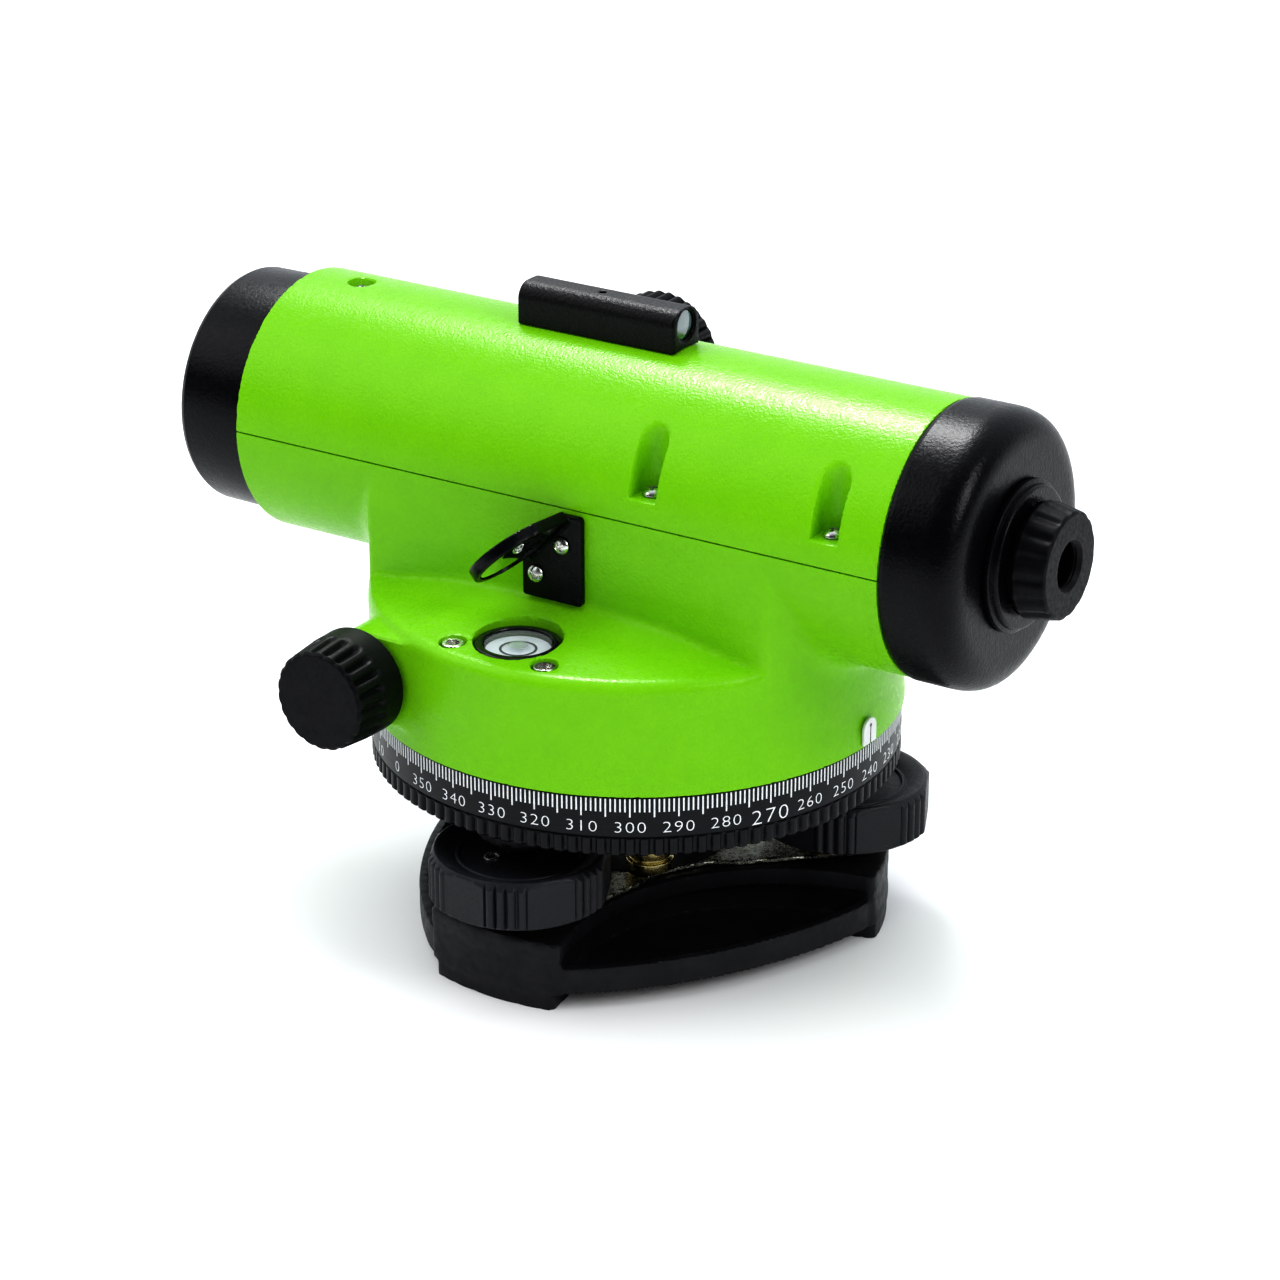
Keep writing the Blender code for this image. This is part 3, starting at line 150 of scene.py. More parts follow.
KNOB_TURN = math.radians(51.0)


# ---- distance fields
def smooth_min(a, b, radius):
    """The nearer of two distances, with a fillet of about radius where they meet."""
    share = np.clip(0.5 + 0.5 * (b - a) / radius, 0.0, 1.0)
    return b + (a - b) * share - radius * share * (1.0 - share)


def smooth_max(a, b, radius):
    """The farther of two distances, with the edge between them rounded by about radius."""
    return -smooth_min(-a, -b, radius)


def length_of(*parts):
    """Length of a vector given by its components."""
    return np.sqrt(sum(part * part for part in parts))


def off_axis(p, x=0.0, y=0.0):
    """Distance of points from an upright line."""
    return length_of(p[:, 0] - x, p[:, 1] - y)


def slab(values, low, high):
    """Distance to a stretch along one coordinate."""
    return np.maximum(low - values, values - high)


def box_field(p, low, high, edge=0.0):
    """A box with rounded edges."""
    middle = (np.array(low) + np.array(high)) / 2
    half = (np.array(high) - np.array(low)) / 2 - edge
    q = np.abs(p - middle) - half
    outside = np.linalg.norm(np.maximum(q, 0.0), axis=1)
    return outside + np.minimum(q.max(axis=1), 0.0) - edge


def rod_field(p, axis, centre, radius, low, high, edge=0.0):
    """A cylinder along coordinate axis 0, 1 or 2, with rounded rims."""
    others = [i for i in range(3) if i != axis]
    across = length_of(p[:, others[0]] - centre[others[0]], p[:, others[1]] - centre[others[1]])
    a = across - radius + edge
    b = np.abs(p[:, axis] - (low + high) / 2) - (high - low) / 2 + edge
    outside = length_of(np.maximum(a, 0.0), np.maximum(b, 0.0))
    return outside + np.minimum(np.maximum(a, b), 0.0) - edge


def local_points(p, matrix):
    """Points in the local frame of a matrix."""
    back = np.array(Matrix(matrix).inverted())
    return p @ back[:3, :3].T + back[:3, 3]


def slopes(field, points, step=0.02):
    """Unit gradient of a field at points, by four samples of it."""
    total = np.zeros_like(points)
    for corner in ((1, -1, -1), (-1, -1, 1), (-1, 1, -1), (1, 1, 1)):
        corner = np.array(corner, float)
        total += corner * field(points + step * corner)[:, None]
    return total / np.maximum(np.linalg.norm(total, axis=1, keepdims=True), 1e-12)


def sampled(field, low, cell, shape):
    """The field on a grid, worked out in full only in the blocks that its surface may cross."""
    side = 8
    blocks = tuple(-(-n // side) for n in shape)
    index = np.stack(np.meshgrid(*[np.arange(n) for n in blocks], indexing="ij"), axis=-1)
    index = index.reshape(-1, 3)
    middles = low + cell * (index * side + (side - 1) / 2)
    rough = field(middles)
    values = np.empty(blocks + (side, side, side), np.float32)
    values[tuple(index.T)] = rough[:, None, None, None]
    near = index[np.abs(rough) < cell * side * 0.95 + 0.5]
    step = np.stack(np.meshgrid(*[np.arange(side)] * 3, indexing="ij"), axis=-1).reshape(-1, 3)
    for start in range(0, len(near), 2000):
        part = near[start:start + 2000]
        places = low + cell * (part[:, None, :] * side + step[None])
        found = field(places.reshape(-1, 3)).reshape(-1, side, side, side)
        values[tuple(part.T)] = found
    return values.transpose(0, 3, 1, 4, 2, 5).reshape([n * side for n in blocks])


def field_surface(field, low, high, cell):
    """Vertices and quads of the surface where a field is zero, with its sharp edges kept."""
    margin, shift, softness, reach = 1.5, 0.137, 0.06, 0.7
    low = np.array(low, float) - margin * cell + shift * cell
    shape = tuple(int(n) for n in np.ceil((np.array(high) + margin * cell - low) / cell) + 1)
    values = sampled(field, low, cell, shape)
    full = np.array(values.shape)
    inside = values < 0
    strides = np.array((full[1] * full[2], full[2], 1))
    cells, quads, places, normals = [], [], [], []
    for axis in range(3):
        first = [slice(0, -1) if i == axis else slice(1, -1) for i in range(3)]
        second = [slice(1, None) if i == axis else slice(1, -1) for i in range(3)]
        a, b = inside[tuple(first)], inside[tuple(second)]
        spots = np.argwhere(a != b) + np.array([0 if i == axis else 1 for i in range(3)])
        ahead = np.zeros(3, int)
        ahead[axis] = 1
        va = values[tuple(spots.T)].astype(float)
        vb = values[tuple((spots + ahead).T)].astype(float)
        share = va / (va - vb)
        p = low + cell * (spots + share[:, None] * ahead)
        d = field(p)
        n = slopes(field, p)
        p = p - np.clip(d, -0.2 * cell, 0.2 * cell)[:, None] * n
        u, v = np.zeros(3, int), np.zeros(3, int)
        u[(axis + 1) % 3] = 1
        v[(axis + 2) % 3] = 1
        corners = np.stack([spots - u - v, spots - v, spots, spots - u], axis=1) @ strides
        flip = va > 0
        corners[flip] = corners[flip][:, ::-1]
        quads.append(corners)
        cells.append(corners.reshape(-1))
        places.append(np.repeat(p, 4, axis=0))
        normals.append(np.repeat(n, 4, axis=0))
    cells, places, normals = map(np.concatenate, (cells, places, normals))
    quads = np.concatenate(quads)
    used, ids = np.unique(cells, return_inverse=True)
    count = len(used)

    def gathered(weights):
        return np.bincount(ids, weights, count)

    number = gathered(np.ones(len(ids)))
    mass = np.stack([gathered(places[:, i]) for i in range(3)], axis=1) / number[:, None]
    offset = np.einsum("ij,ij->i", normals, places - mass[ids])
    right = np.stack([gathered(normals[:, i] * offset) for i in range(3)], axis=1)
    left = np.empty((count, 3, 3))
    for i in range(3):
        for j in range(3):
            left[:, i, j] = gathered(normals[:, i] * normals[:, j])
    left += np.eye(3) * (softness * number)[:, None, None]
    move = np.linalg.solve(left, right[:, :, None])[:, :, 0]
    points = mass + np.clip(move, -reach * cell, reach * cell)
    return points, np.searchsorted(used, quads)


# ---- pieces from meshes
def linked(name, data):
    """A new object in the scene."""
    thing = bpy.data.objects.new(name, data)
    bpy.context.scene.collection.objects.link(thing)
    return thing


def link_mesh(name, mesh, body, material, nodes=(), sharp=35.0):
    """A piece from a mesh in metres: smooth-shaded, riding on a body, in place of CAD nodes."""
    mesh.name = name
    mesh.shade_smooth()
    mesh.set_sharp_from_angle(angle=math.radians(sharp))
    mesh.materials.clear()
    mesh.materials.append(material)
    piece = linked(name, mesh)
    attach(piece, body)
    if nodes:
        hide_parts(*nodes)


def raw_mesh(points, faces):
    """A mesh in metres from points in millimetres and faces given as rows of corners."""
    mesh = bpy.data.meshes.new("shape")
    mesh.from_pydata((np.asarray(points) * MM).tolist(), [], [list(face) for face in faces])
    return mesh


def quad_mesh(points, quads):
    """The same for many faces of four corners at once."""
    mesh = bpy.data.meshes.new("shape")
    mesh.vertices.add(len(points))
    mesh.vertices.foreach_set("co", (points * MM).astype(np.float32).ravel())
    mesh.loops.add(quads.size)
    mesh.loops.foreach_set("vertex_index", quads.astype(np.int32).ravel())
    mesh.polygons.add(len(quads))
    mesh.polygons.foreach_set("loop_start", np.arange(0, quads.size, 4, dtype=np.int32))
    mesh.polygons.foreach_set("loop_total", np.full(len(quads), 4, np.int32))
    mesh.update(calc_edges=True)
    mesh.validate()
    return mesh


def cast_mesh(field, low, high, cell):
    """A mesh of a field's surface."""
    return quad_mesh(*field_surface(field, low, high, cell))


def rounded(outline, steps=5, closed=False):
    """An outline of (radius, height, fillet) points with each corner rounded by its fillet."""
    points = []
    count = len(outline)
    for i, (r, h, fillet) in enumerate(outline):
        here = np.array((r, h), float)
        ends = not closed and i in (0, count - 1)
        if ends or fillet <= 0:
            points.append(here)
            continue
        before = np.array(outline[i - 1][:2], float) - here
        after = np.array(outline[(i + 1) % count][:2], float) - here
        long_before, long_after = np.linalg.norm(before), np.linalg.norm(after)
        before, after = before / long_before, after / long_after
        corner = math.acos(np.clip(before @ after, -1, 1))
        reach = min(fillet / math.tan(corner / 2), 0.49 * long_before, 0.49 * long_after)
        start, end = here + before * reach, here + after * reach
        for k in range(steps + 1):
            t = k / steps
            points.append((1 - t) ** 2 * start + 2 * t * (1 - t) * here + t * t * end)
    return np.array(points)


def finer(outline, step):
    """An outline with points added so that none are farther apart than step."""
    points = []
    for first, second in zip(outline[:-1], outline[1:]):
        parts = max(1, int(math.ceil(np.linalg.norm(second - first) / step)))
        points += [first + (second - first) * k / parts for k in range(parts)]
    points.append(outline[-1])
    return np.array(points)


def lathe_mesh(outline, segments, axis=(0, 0, 1), origin=(0, 0, 0), radial=None, closed=False):
    """Turn an outline of (radius, height) about an axis; radial(angle, r, h) changes a radius."""
    angles = np.linspace(0, 2 * math.pi, segments, endpoint=False)
    r = np.repeat(outline[:, 0][:, None], segments, axis=1)
    h = np.repeat(outline[:, 1][:, None], segments, axis=1)
    a = np.repeat(angles[None], len(outline), axis=0)
    if radial is not None:
        r = np.where(r > 1e-6, radial(a, r, h), r)
    points = np.stack([r * np.cos(a), r * np.sin(a), h], axis=-1).reshape(-1, 3)
    rows = len(outline) if closed else len(outline) - 1
    i, j = np.meshgrid(np.arange(rows), np.arange(segments), indexing="ij")
    k, m = (i + 1) % len(outline), (j + 1) % segments
    quads = np.stack([i * segments + j, i * segments + m, k * segments + m, k * segments + j], -1)
    mesh = quad_mesh(points, quads.reshape(-1, 4))
    bm = bmesh.new()
    bm.from_mesh(mesh)
    bmesh.ops.remove_doubles(bm, verts=bm.verts, dist=1e-7)
    bmesh.ops.dissolve_degenerate(bm, edges=bm.edges, dist=1e-8)
    bmesh.ops.recalc_face_normals(bm, faces=bm.faces)
    turn = Vector((0, 0, 1)).rotation_difference(Vector(axis)).to_matrix().to_4x4()
    bmesh.ops.transform(
        bm, matrix=Matrix.Translation(Vector(origin) * MM) @ turn, verts=bm.verts)
    bm.to_mesh(mesh)
    bm.free()
    return mesh


def joined(*meshes):
    """One mesh from several."""
    bm = bmesh.new()
    for mesh in meshes:
        bm.from_mesh(mesh)
    whole = bpy.data.meshes.new("shape")
    bm.to_mesh(whole)
    bm.free()
    return whole


def turned(name, body, slot, material, outline, segments, nodes=(), sharp=35.0, steps=5,
           step=None, **lathe):
    """A turned piece from an outline of (radius, height, fillet) corners."""
    outline = rounded(outline, steps, lathe.get("closed", False))
    if step:
        outline = finer(outline, step)
    link_mesh(name, lathe_mesh(outline, segments, **lathe), body, material, nodes, sharp)


def cast(name, field, low, high, cell, body, material, nodes, sharp=32.0):
    """A casting from a distance field."""
    link_mesh(name, cast_mesh(field, low, high, cell), body, material, nodes, sharp)


TELESCOPE = {"axis": (1, 0, 0), "origin": (0, 0, AXIS_Z)}


# ---- materials
class Finish:
    """A procedural material in the making: its Principled shader and the nodes around it."""

    def __init__(self, name, colour, roughness, **sockets):
        self.material = bpy.data.materials.new(name)
        self.material.use_nodes = True
        self.nodes = self.material.node_tree.nodes
        self.links = self.material.node_tree.links
        self.shader = self.nodes["Principled BSDF"]
        self.filled(self.shader, Base_Color=(*colour, 1.0), Roughness=roughness, **sockets)
        self.place = self.node("TexCoord").outputs["Object"]
        self.height = None

    def filled(self, node, **sockets):
        """A node with its inputs set: outputs of other nodes are linked, the rest are values."""
        for name, value in sockets.items():
            socket = node.inputs[name.replace("_", " ")]
            if isinstance(value, bpy.types.NodeSocket):
                self.links.new(value, socket)
            else:
                socket.default_value = value
        return node

    def node(self, kind, **sockets):
        """A new node with its inputs set."""
        return self.filled(self.nodes.new("ShaderNode" + kind), **sockets)

    def noise(self, size, detail=2.0, stretch=None):
        """Noise with features about size millimetres wide, drawn out along the axes if asked."""
        place = self.place
        if stretch is not None:
            place = self.node("Mapping", Scale=stretch, Vector=place).outputs["Vector"]
        scale = 1.0 / (size * MM)
        return self.node("TexNoise", Scale=scale, Detail=detail, Vector=place).outputs["Fac"]

    def mapped(self, value, from_low, from_high, to_low, to_high):
        """A value carried from one range to another and kept inside it."""
        return self.node("MapRange", Value=value, From_Min=from_low, From_Max=from_high,
                         To_Min=to_low, To_Max=to_high).outputs["Result"]

    def tint(self, share, other):
        """Mix another colour into the base colour by a share from 0 to 1."""
        mix = self.nodes.new("ShaderNodeMix")
        mix.data_type = "RGBA"
        base = self.shader.inputs["Base Color"]
        first = base.links[0].from_socket if base.is_linked else base.default_value
        self.filled(mix, A=first, B=(*other, 1.0), Factor=share)
        self.links.new(mix.outputs["Result"], base)

    def vary_roughness(self, value, low, high):
        """Drive the roughness from a noise."""
        self.filled(self.shader, Roughness=self.mapped(value, 0.3, 0.7, low, high))

    def relief(self, value, depth):
        """Bump from a height value, depth millimetres from its lowest to its highest."""
        bump = self.node("Bump", Strength=1.0, Distance=depth * MM, Height=value)
        if self.height is not None:
            self.filled(bump, Normal=self.height)
        self.height = bump.outputs["Normal"]
        self.filled(self.shader, Normal=self.height)

    def dust(self, size, amount, colour):
        """Small lighter specks."""
        specks = self.mapped(self.noise(size, 1.0), 1.0 - amount, 1.02 - amount, 0.0, 0.6)
        self.tint(specks, colour)

    def worked(self, operation, first, second, clamp=False):
        """Arithmetic on two values, each a socket or a number."""
        node = self.nodes.new("ShaderNodeMath")
        node.operation = operation
        node.use_clamp = clamp
        for value, socket in zip((first, second), node.inputs):
            if isinstance(value, float):
                socket.default_value = value
            else:
                self.links.new(value, socket)
        return node.outputs["Value"]


def painted(name, colour, roughness, patches=None, uneven=None, grain=(), dust=None, **sockets):
    """A material that is one colour at first sight.

    patches: size, detail, lowest and highest noise, greatest share, and the other colour.
    uneven: size, detail, lowest and highest roughness.
    grain: rows of size, detail and depth. dust: size, amount and colour.
    """
    finish = Finish(name, colour, roughness, **sockets)
    if patches:
        size, detail, low, high, most, other = patches
        finish.tint(finish.mapped(finish.noise(size, detail), low, high, 0.0, most), other)
    if uneven:
        size, detail, low, high = uneven
        finish.vary_roughness(finish.noise(size, detail), low, high)
    for size, detail, depth in grain:
        finish.relief(finish.noise(size, detail), depth)
    if dust:
        finish.dust(*dust)
    return finish.material


def brushed_dial():
    """Black anodised aluminium, brushed round the ring."""
    finish = Finish("dial_anodised", (0.0045, 0.005, 0.0065), 0.36, Specular_IOR_Level=0.22)
    streaks = finish.noise(1.0, 2.0, stretch=(0.15, 0.15, 6.0))
    finish.tint(finish.mapped(streaks, 0.35, 0.7, 0.0, 0.6), (0.012, 0.013, 0.016))
    finish.vary_roughness(streaks, 0.30, 0.44)
    finish.relief(streaks, 0.004)
    return finish.material


def metal(name, colour, worn, roughness, grain=0.5, stretch=(1.0, 1.0, 1.0), tarnish=3.0):
    """Bare or plated metal with fine scratches and patches of another tone."""
    finish = Finish(name, colour, roughness, Metallic=1.0)
    finish.tint(finish.mapped(finish.noise(tarnish, 4.0), 0.42, 0.66, 0.0, 0.9), worn)
    finish.vary_roughness(finish.noise(grain, 3.0, stretch), roughness * 0.7, roughness * 1.4)
    finish.relief(finish.noise(grain, 2.0, stretch), 0.008)
    return finish.material


def clear_glass(name, tint, body=0.0):
    """Glass drawn as a clear surface with a sheen, so that lamps shine through it."""
    finish = Finish(name, tint, 0.03, IOR=1.5, Coat_Weight=1.0, Coat_Roughness=0.02)
    haze = finish.mapped(finish.noise(4.0), 0.0, 1.0, body, body + 0.05)
    rim = finish.node("Fresnel", IOR=1.45).outputs["Fac"]
    inside = finish.node("NewGeometry").outputs["Backfacing"]
    sheen = finish.worked("MULTIPLY", finish.worked("ADD", rim, haze, clamp=True),
                          finish.worked("SUBTRACT", 1.0, inside))
    mix = finish.node("MixShader", Fac=sheen)
    finish.links.new(finish.node("BsdfTransparent").outputs["BSDF"], mix.inputs[1])
    finish.links.new(finish.shader.outputs["BSDF"], mix.inputs[2])
    finish.filled(finish.nodes["Material Output"], Surface=mix.outputs["Shader"])
    return finish.material


def sight_glass():
    """The sight's small glass, blue-grey, with painted shade tinted green towards the bottom."""
    finish = Finish("sight_glass", (0.16, 0.20, 0.25), 0.08, Coat_Weight=1.0)
    height = finish.node("SeparateXYZ", Vector=finish.place).outputs["Z"]
    low = (SIGHT_AXIS_Z - 0.6) * MM
    # Painted shade, tinted green: the glass darkens from just below its middle down to its bottom.
    dark = finish.mapped(height, low, low - 1.5 * MM, 0.0, 1.0)
    finish.tint(dark, (0.010, 0.050, 0.030))
    finish.vary_roughness(finish.noise(1.5, 2.0), 0.05, 0.12)
    return finish.material


PALE_DUST = (0.7, 0.17, (0.10, 0.09, 0.08))
GREEN = painted("green_enamel", (0.175, 0.500, 0.007), 0.34,
                (9.0, 2.0, 0.35, 0.65, 0.35, (0.150, 0.455, 0.006)), (1.6, 3.0, 0.22, 0.36),
                [(0.62, 1.5, 0.085), (0.32, 1.0, 0.016)], Specular_IOR_Level=0.17)
BLACK = painted("black_texture_paint", (0.0020, 0.0022, 0.0034), 0.3,
                (5.0, 2.0, 0.4, 0.7, 0.5, (0.0035, 0.004, 0.005)), (1.2, 2.0, 0.26, 0.36),
                [(0.7, 2.0, 0.070), (0.3, 1.0, 0.010)], Specular_IOR_Level=0.19)
PLASTIC = painted("black_moulded", (0.0032, 0.0035, 0.0045), 0.5,
                  (4.0, 2.0, 0.4, 0.7, 0.6, (0.0055, 0.006, 0.008)), (0.8, 3.0, 0.42, 0.60),
                  [(0.30, 2.0, 0.012)], PALE_DUST, Specular_IOR_Level=0.18)
GRIP = painted("black_grip", (0.0120, 0.0132, 0.0165), 0.5,
               (4.0, 2.0, 0.4, 0.7, 0.6, (0.013, 0.0145, 0.018)), (0.8, 3.0, 0.38, 0.56),
               [(0.30, 2.0, 0.012)], PALE_DUST, Specular_IOR_Level=0.34)
WRINKLE = painted("black_wrinkle", (0.0022, 0.0022, 0.0028), 0.36, None, (0.6, 2.0, 0.34, 0.50),
                  [(0.65, 3.0, 0.16)], Specular_IOR_Level=0.24)
ENAMEL = painted("base_enamel", (0.0075, 0.0080, 0.0095), 0.5,
                 (7.0, 3.0, 0.4, 0.7, 0.7, (0.013, 0.014, 0.017)), (2.0, 3.0, 0.40, 0.60),
                 [(0.7, 3.0, 0.020)], (0.6, 0.16, (0.12, 0.11, 0.10)), Specular_IOR_Level=0.30)
GLOSS = painted("black_gloss", (0.008, 0.008, 0.009), 0.14,
                (3.0, 2.0, 0.4, 0.7, 0.5, (0.013, 0.014, 0.016)), (1.0, 2.0, 0.10, 0.20),
                [(0.5, 1.0, 0.003)], Specular_IOR_Level=0.5)
WHITE = painted("dial_white", (0.80, 0.82, 0.85), 0.5,
                (0.6, 2.0, 0.45, 0.75, 0.5, (0.52, 0.54, 0.57)), None, [(0.25, 1.0, 0.004)])
LABEL = painted("satin_silver", (0.66, 0.67, 0.68), 0.38,
                (1.5, 2.0, 0.4, 0.7, 0.4, (0.78, 0.79, 0.80)), None, [(0.3, 2.0, 0.004)],
                Metallic=0.35)
MIRROR = painted("mirror_glass", (0.80, 0.84, 0.82), 0.02,
                 (3.0, 2.0, 0.5, 0.8, 0.2, (0.60, 0.68, 0.62)), (2.0, 2.0, 0.015, 0.05),
                 Metallic=1.0)
BACKING = painted("bubble_backing", (0.72, 0.77, 0.83), 0.35,
                  (2.5, 2.0, 0.4, 0.7, 0.5, (0.50, 0.58, 0.68)), None, [(0.6, 1.0, 0.006)])
LENS = painted("coated_lens", (0.010, 0.018, 0.030), 0.03,
               (14.0, 1.0, 0.4, 0.7, 1.0, (0.030, 0.014, 0.040)), (3.0, 2.0, 0.015, 0.05),
               Coat_Weight=1.0, Coat_Roughness=0.02, Specular_IOR_Level=0.9,
               Specular_Tint=(0.45, 0.62, 1.0, 1.0))
FLOOR = painted("pale_floor", (0.89, 0.895, 0.90), 0.75,
                (40.0, 2.0, 0.4, 0.7, 0.3, (0.87, 0.88, 0.89)))
DIAL = brushed_dial()
STEEL = metal("bright_steel", (0.78, 0.78, 0.76), (0.55, 0.54, 0.51), 0.24)
BRASS = metal("turned_brass", (0.66, 0.56, 0.26), (0.42, 0.34, 0.14), 0.20, 0.4, (0.4, 0.4, 5.0))
ZINC = metal("plated_spring_steel", (0.66, 0.66, 0.58), (0.30, 0.32, 0.22), 0.26, 0.9,
             tarnish=4.0)
CHROMATE = metal("chromated_steel", (0.42, 0.37, 0.22), (0.26, 0.22, 0.11), 0.42, 0.7)
DARK_METAL = metal("black_anodised_inner", (0.035, 0.035, 0.038), (0.020, 0.020, 0.022), 0.45,
                   0.6)
CLEAR = clear_glass("clear_glass", (0.85, 0.90, 0.95))
AIR = clear_glass("air_bubble", (0.30, 0.38, 0.34), 0.45)
SIGHT_GLASS = sight_glass()


# ---- green castings
def barrel_radius(p):
    """Distance from the line of sight."""
    return length_of(p[:, 1], p[:, 2] - AXIS_Z)


def ledge_height(p):
    """Height of the ledge: a gentle cone, with a steeper bank along the pedestal's wall."""
    across = off_axis(p)
    gentle = RIM_Z + LEDGE_SLOPE * (RIM_R - across)
    from_wall = np.clip((np.abs(p[:, 1]) - BARREL_R) / 7.0, 0.0, 1.0)
    along = np.clip((44.0 - np.abs(p[:, 0])) / 18.0, 0.0, 1.0)
    bank = 1.9 * along * (1.0 - from_wall) ** 1.4
    return gentle + bank


def lower_outside(p):
    """Outer shape of the lower casting, before its holes."""
    across = off_axis(p)
    beside = np.abs(p[:, 1])
    flare = 0.6 * np.clip((SKIRT_Z0 + 8.0 - p[:, 2]) / 8.0, 0.0, 1.0)
    skirt = across - SKIRT_R - flare
    top = (p[:, 2] - ledge_height(p)) * 0.93
    stepped = smooth_min(top, beside - BARREL_R, 1.3)
    rim = np.interp(beside, (28.0, 33.0), (0.8, 2.6))
    drum = smooth_max(skirt, stepped, rim)
    tube = np.maximum(barrel_radius(p) - BARREL_R, slab(p[:, 0], BARREL_X0, BARREL_X1))
    fillet = np.interp(p[:, 2], (88.0, 99.0), (5.0, 0.02))
    body = smooth_min(drum, tube, fillet)
    round_part = length_of(p[:, 0] - DRIVE_X, p[:, 2] - DRIVE_Z) - DRIVE_BOSS_R
    square_part = box_field(
        p, (DRIVE_X, -80, DRIVE_Z - DRIVE_BOSS_R), (DRIVE_X + 22, 80, DRIVE_Z + DRIVE_BOSS_R))
    boss = smooth_max(np.minimum(round_part, square_part), beside - DRIVE_BOSS_Y, 1.0)
    return smooth_min(body, boss, 0.9)


def lower_field(p):
    """The lower casting, hollow from below and along the telescope."""
    across = off_axis(p)
    solid = lower_outside(p)
    solid = smooth_max(solid, p[:, 2] - SPLIT_LOW, 0.25)
    solid = np.maximum(solid, SKIRT_Z0 - p[:, 2])
    under = np.maximum(across - SKIRT_INNER_R, p[:, 2] - CEILING_Z)
    room = np.maximum(across - SKIRT_INNER_R, np.abs(p[:, 1]) - BORE_R)
    room = np.maximum(room, FLOOR_TOP_Z - p[:, 2])
    bore = barrel_radius(p) - BORE_R
    shaft = rod_field(p, 1, (DRIVE_X, 0, DRIVE_Z), 3.3, -80, 80)
    inner = np.minimum(np.minimum(under, room), np.minimum(bore, shaft))
    solid = np.maximum(solid, -inner)
    hole = rod_field(p, 2, (BUBBLE_X, BUBBLE_Y, 0), BUBBLE_HOLE_R, 74.5, 95.0)
    solid = smooth_max(solid, -hole, 0.55)
    for number in (1, 2):
        x, y, _ = centre_mm("bubble_adjuster_%d" % number)
        recess = rod_field(p, 2, (x, y, 0), 2.9, 75.0, 95.0)
        solid = smooth_max(solid, -recess, 0.5)
    return solid


def upper_field(p):
    """The cover: the upper half of the barrel with its screw slots and the focusing boss."""
    outer = barrel_radius(p) - BARREL_R
    tube = smooth_max(outer, slab(p[:, 0], BARREL_X0, BARREL_X1), 0.4)
    core = barrel_radius(p) - BORE_R
    for x in SLOT_XS:
        for side in (-1, 1):
            pillar = off_axis(p, x, side * SLOT_Y) - 5.2
            core = np.maximum(core, -pillar)
    pad = off_axis(p, TOP_SCREW_X) - 6.0
    core = np.maximum(core, -np.maximum(pad, 122.0 - p[:, 2]))
    solid = np.maximum(tube, -core)
    solid = smooth_max(solid, SPLIT_HIGH - p[:, 2], 0.25)
    for x in SLOT_XS:
        for side in (-1, 1):
            out = side * (p[:, 1] - side * SLOT_Y)
            beside = np.abs(p[:, 0] - x)
            stadium = np.where(out > 0, beside, length_of(beside, out)) - SLOT_R
            slot = smooth_max(stadium, SLOT_Z - p[:, 2], 0.5)
            solid = smooth_max(solid, -slot, 0.7)
            solid = np.maximum(solid, 1.5 - length_of(beside, out))
    recess = rod_field(p, 2, (TOP_SCREW_X, 0, 0), 3.0, TOP_SCREW_Z, 145.0)
    solid = smooth_max(solid, -recess, 0.6)
    boss = rod_field(p, 1, (FOCUS_X, 0, FOCUS_Z), 6.8, 24.0, 33.2, 0.4)
    boss = np.maximum(boss, BORE_R + 0.5 - barrel_radius(p))
    solid = smooth_min(solid, boss, 2.5)
    shaft = rod_field(p, 1, (FOCUS_X, 0, FOCUS_Z), 3.6, 0.0, 45.0)
    return np.maximum(solid, -shaft)


def make_castings():
    """The two green castings of the body."""
    cast("lower_casting", lower_field, LOWER_LOW, LOWER_HIGH, 0.84, "body", GREEN,
         ["lower_body"])
    cast("upper_casting", upper_field, COVER_LOW, COVER_HIGH, 0.75, "body", GREEN,
         ["upper_cover"])


# ---- screws
def cross_head_field(head_r, head_h):
    """A pan head at the local origin, with a cross recess, over a short shank."""
    def field(p):
        across = off_axis(p)
        dome = length_of(across, p[:, 2] - head_h + head_r * 1.25) - head_r * 1.25
        head = smooth_max(np.maximum(across - head_r, -p[:, 2]), dome, 0.3)
        arm = np.minimum(np.abs(p[:, 0]), np.abs(p[:, 1])) - head_r * 0.14
        cross = np.maximum(arm, across - head_r * 0.62 + (head_h - p[:, 2]) * 0.5)
        cross = np.maximum(cross, head_h * 0.25 - p[:, 2])
        return smooth_max(head, -cross, 0.08)
    return field


def socket_head_field(head_r, head_h):
    """A round head with a hexagon socket."""
    def field(p):
        across = off_axis(p)
        head = smooth_max(across - head_r, np.abs(p[:, 2] - head_h / 2) - head_h / 2, 0.35)
        sides = np.stack([p[:, 0] * math.cos(a) + p[:, 1] * math.sin(a)
                          for a in np.radians((0, 60, 120))])
        hexagon = np.abs(sides).max(axis=0) - head_r * 0.56
        return np.maximum(head, -np.maximum(hexagon, head_h * 0.35 - p[:, 2]))
    return field


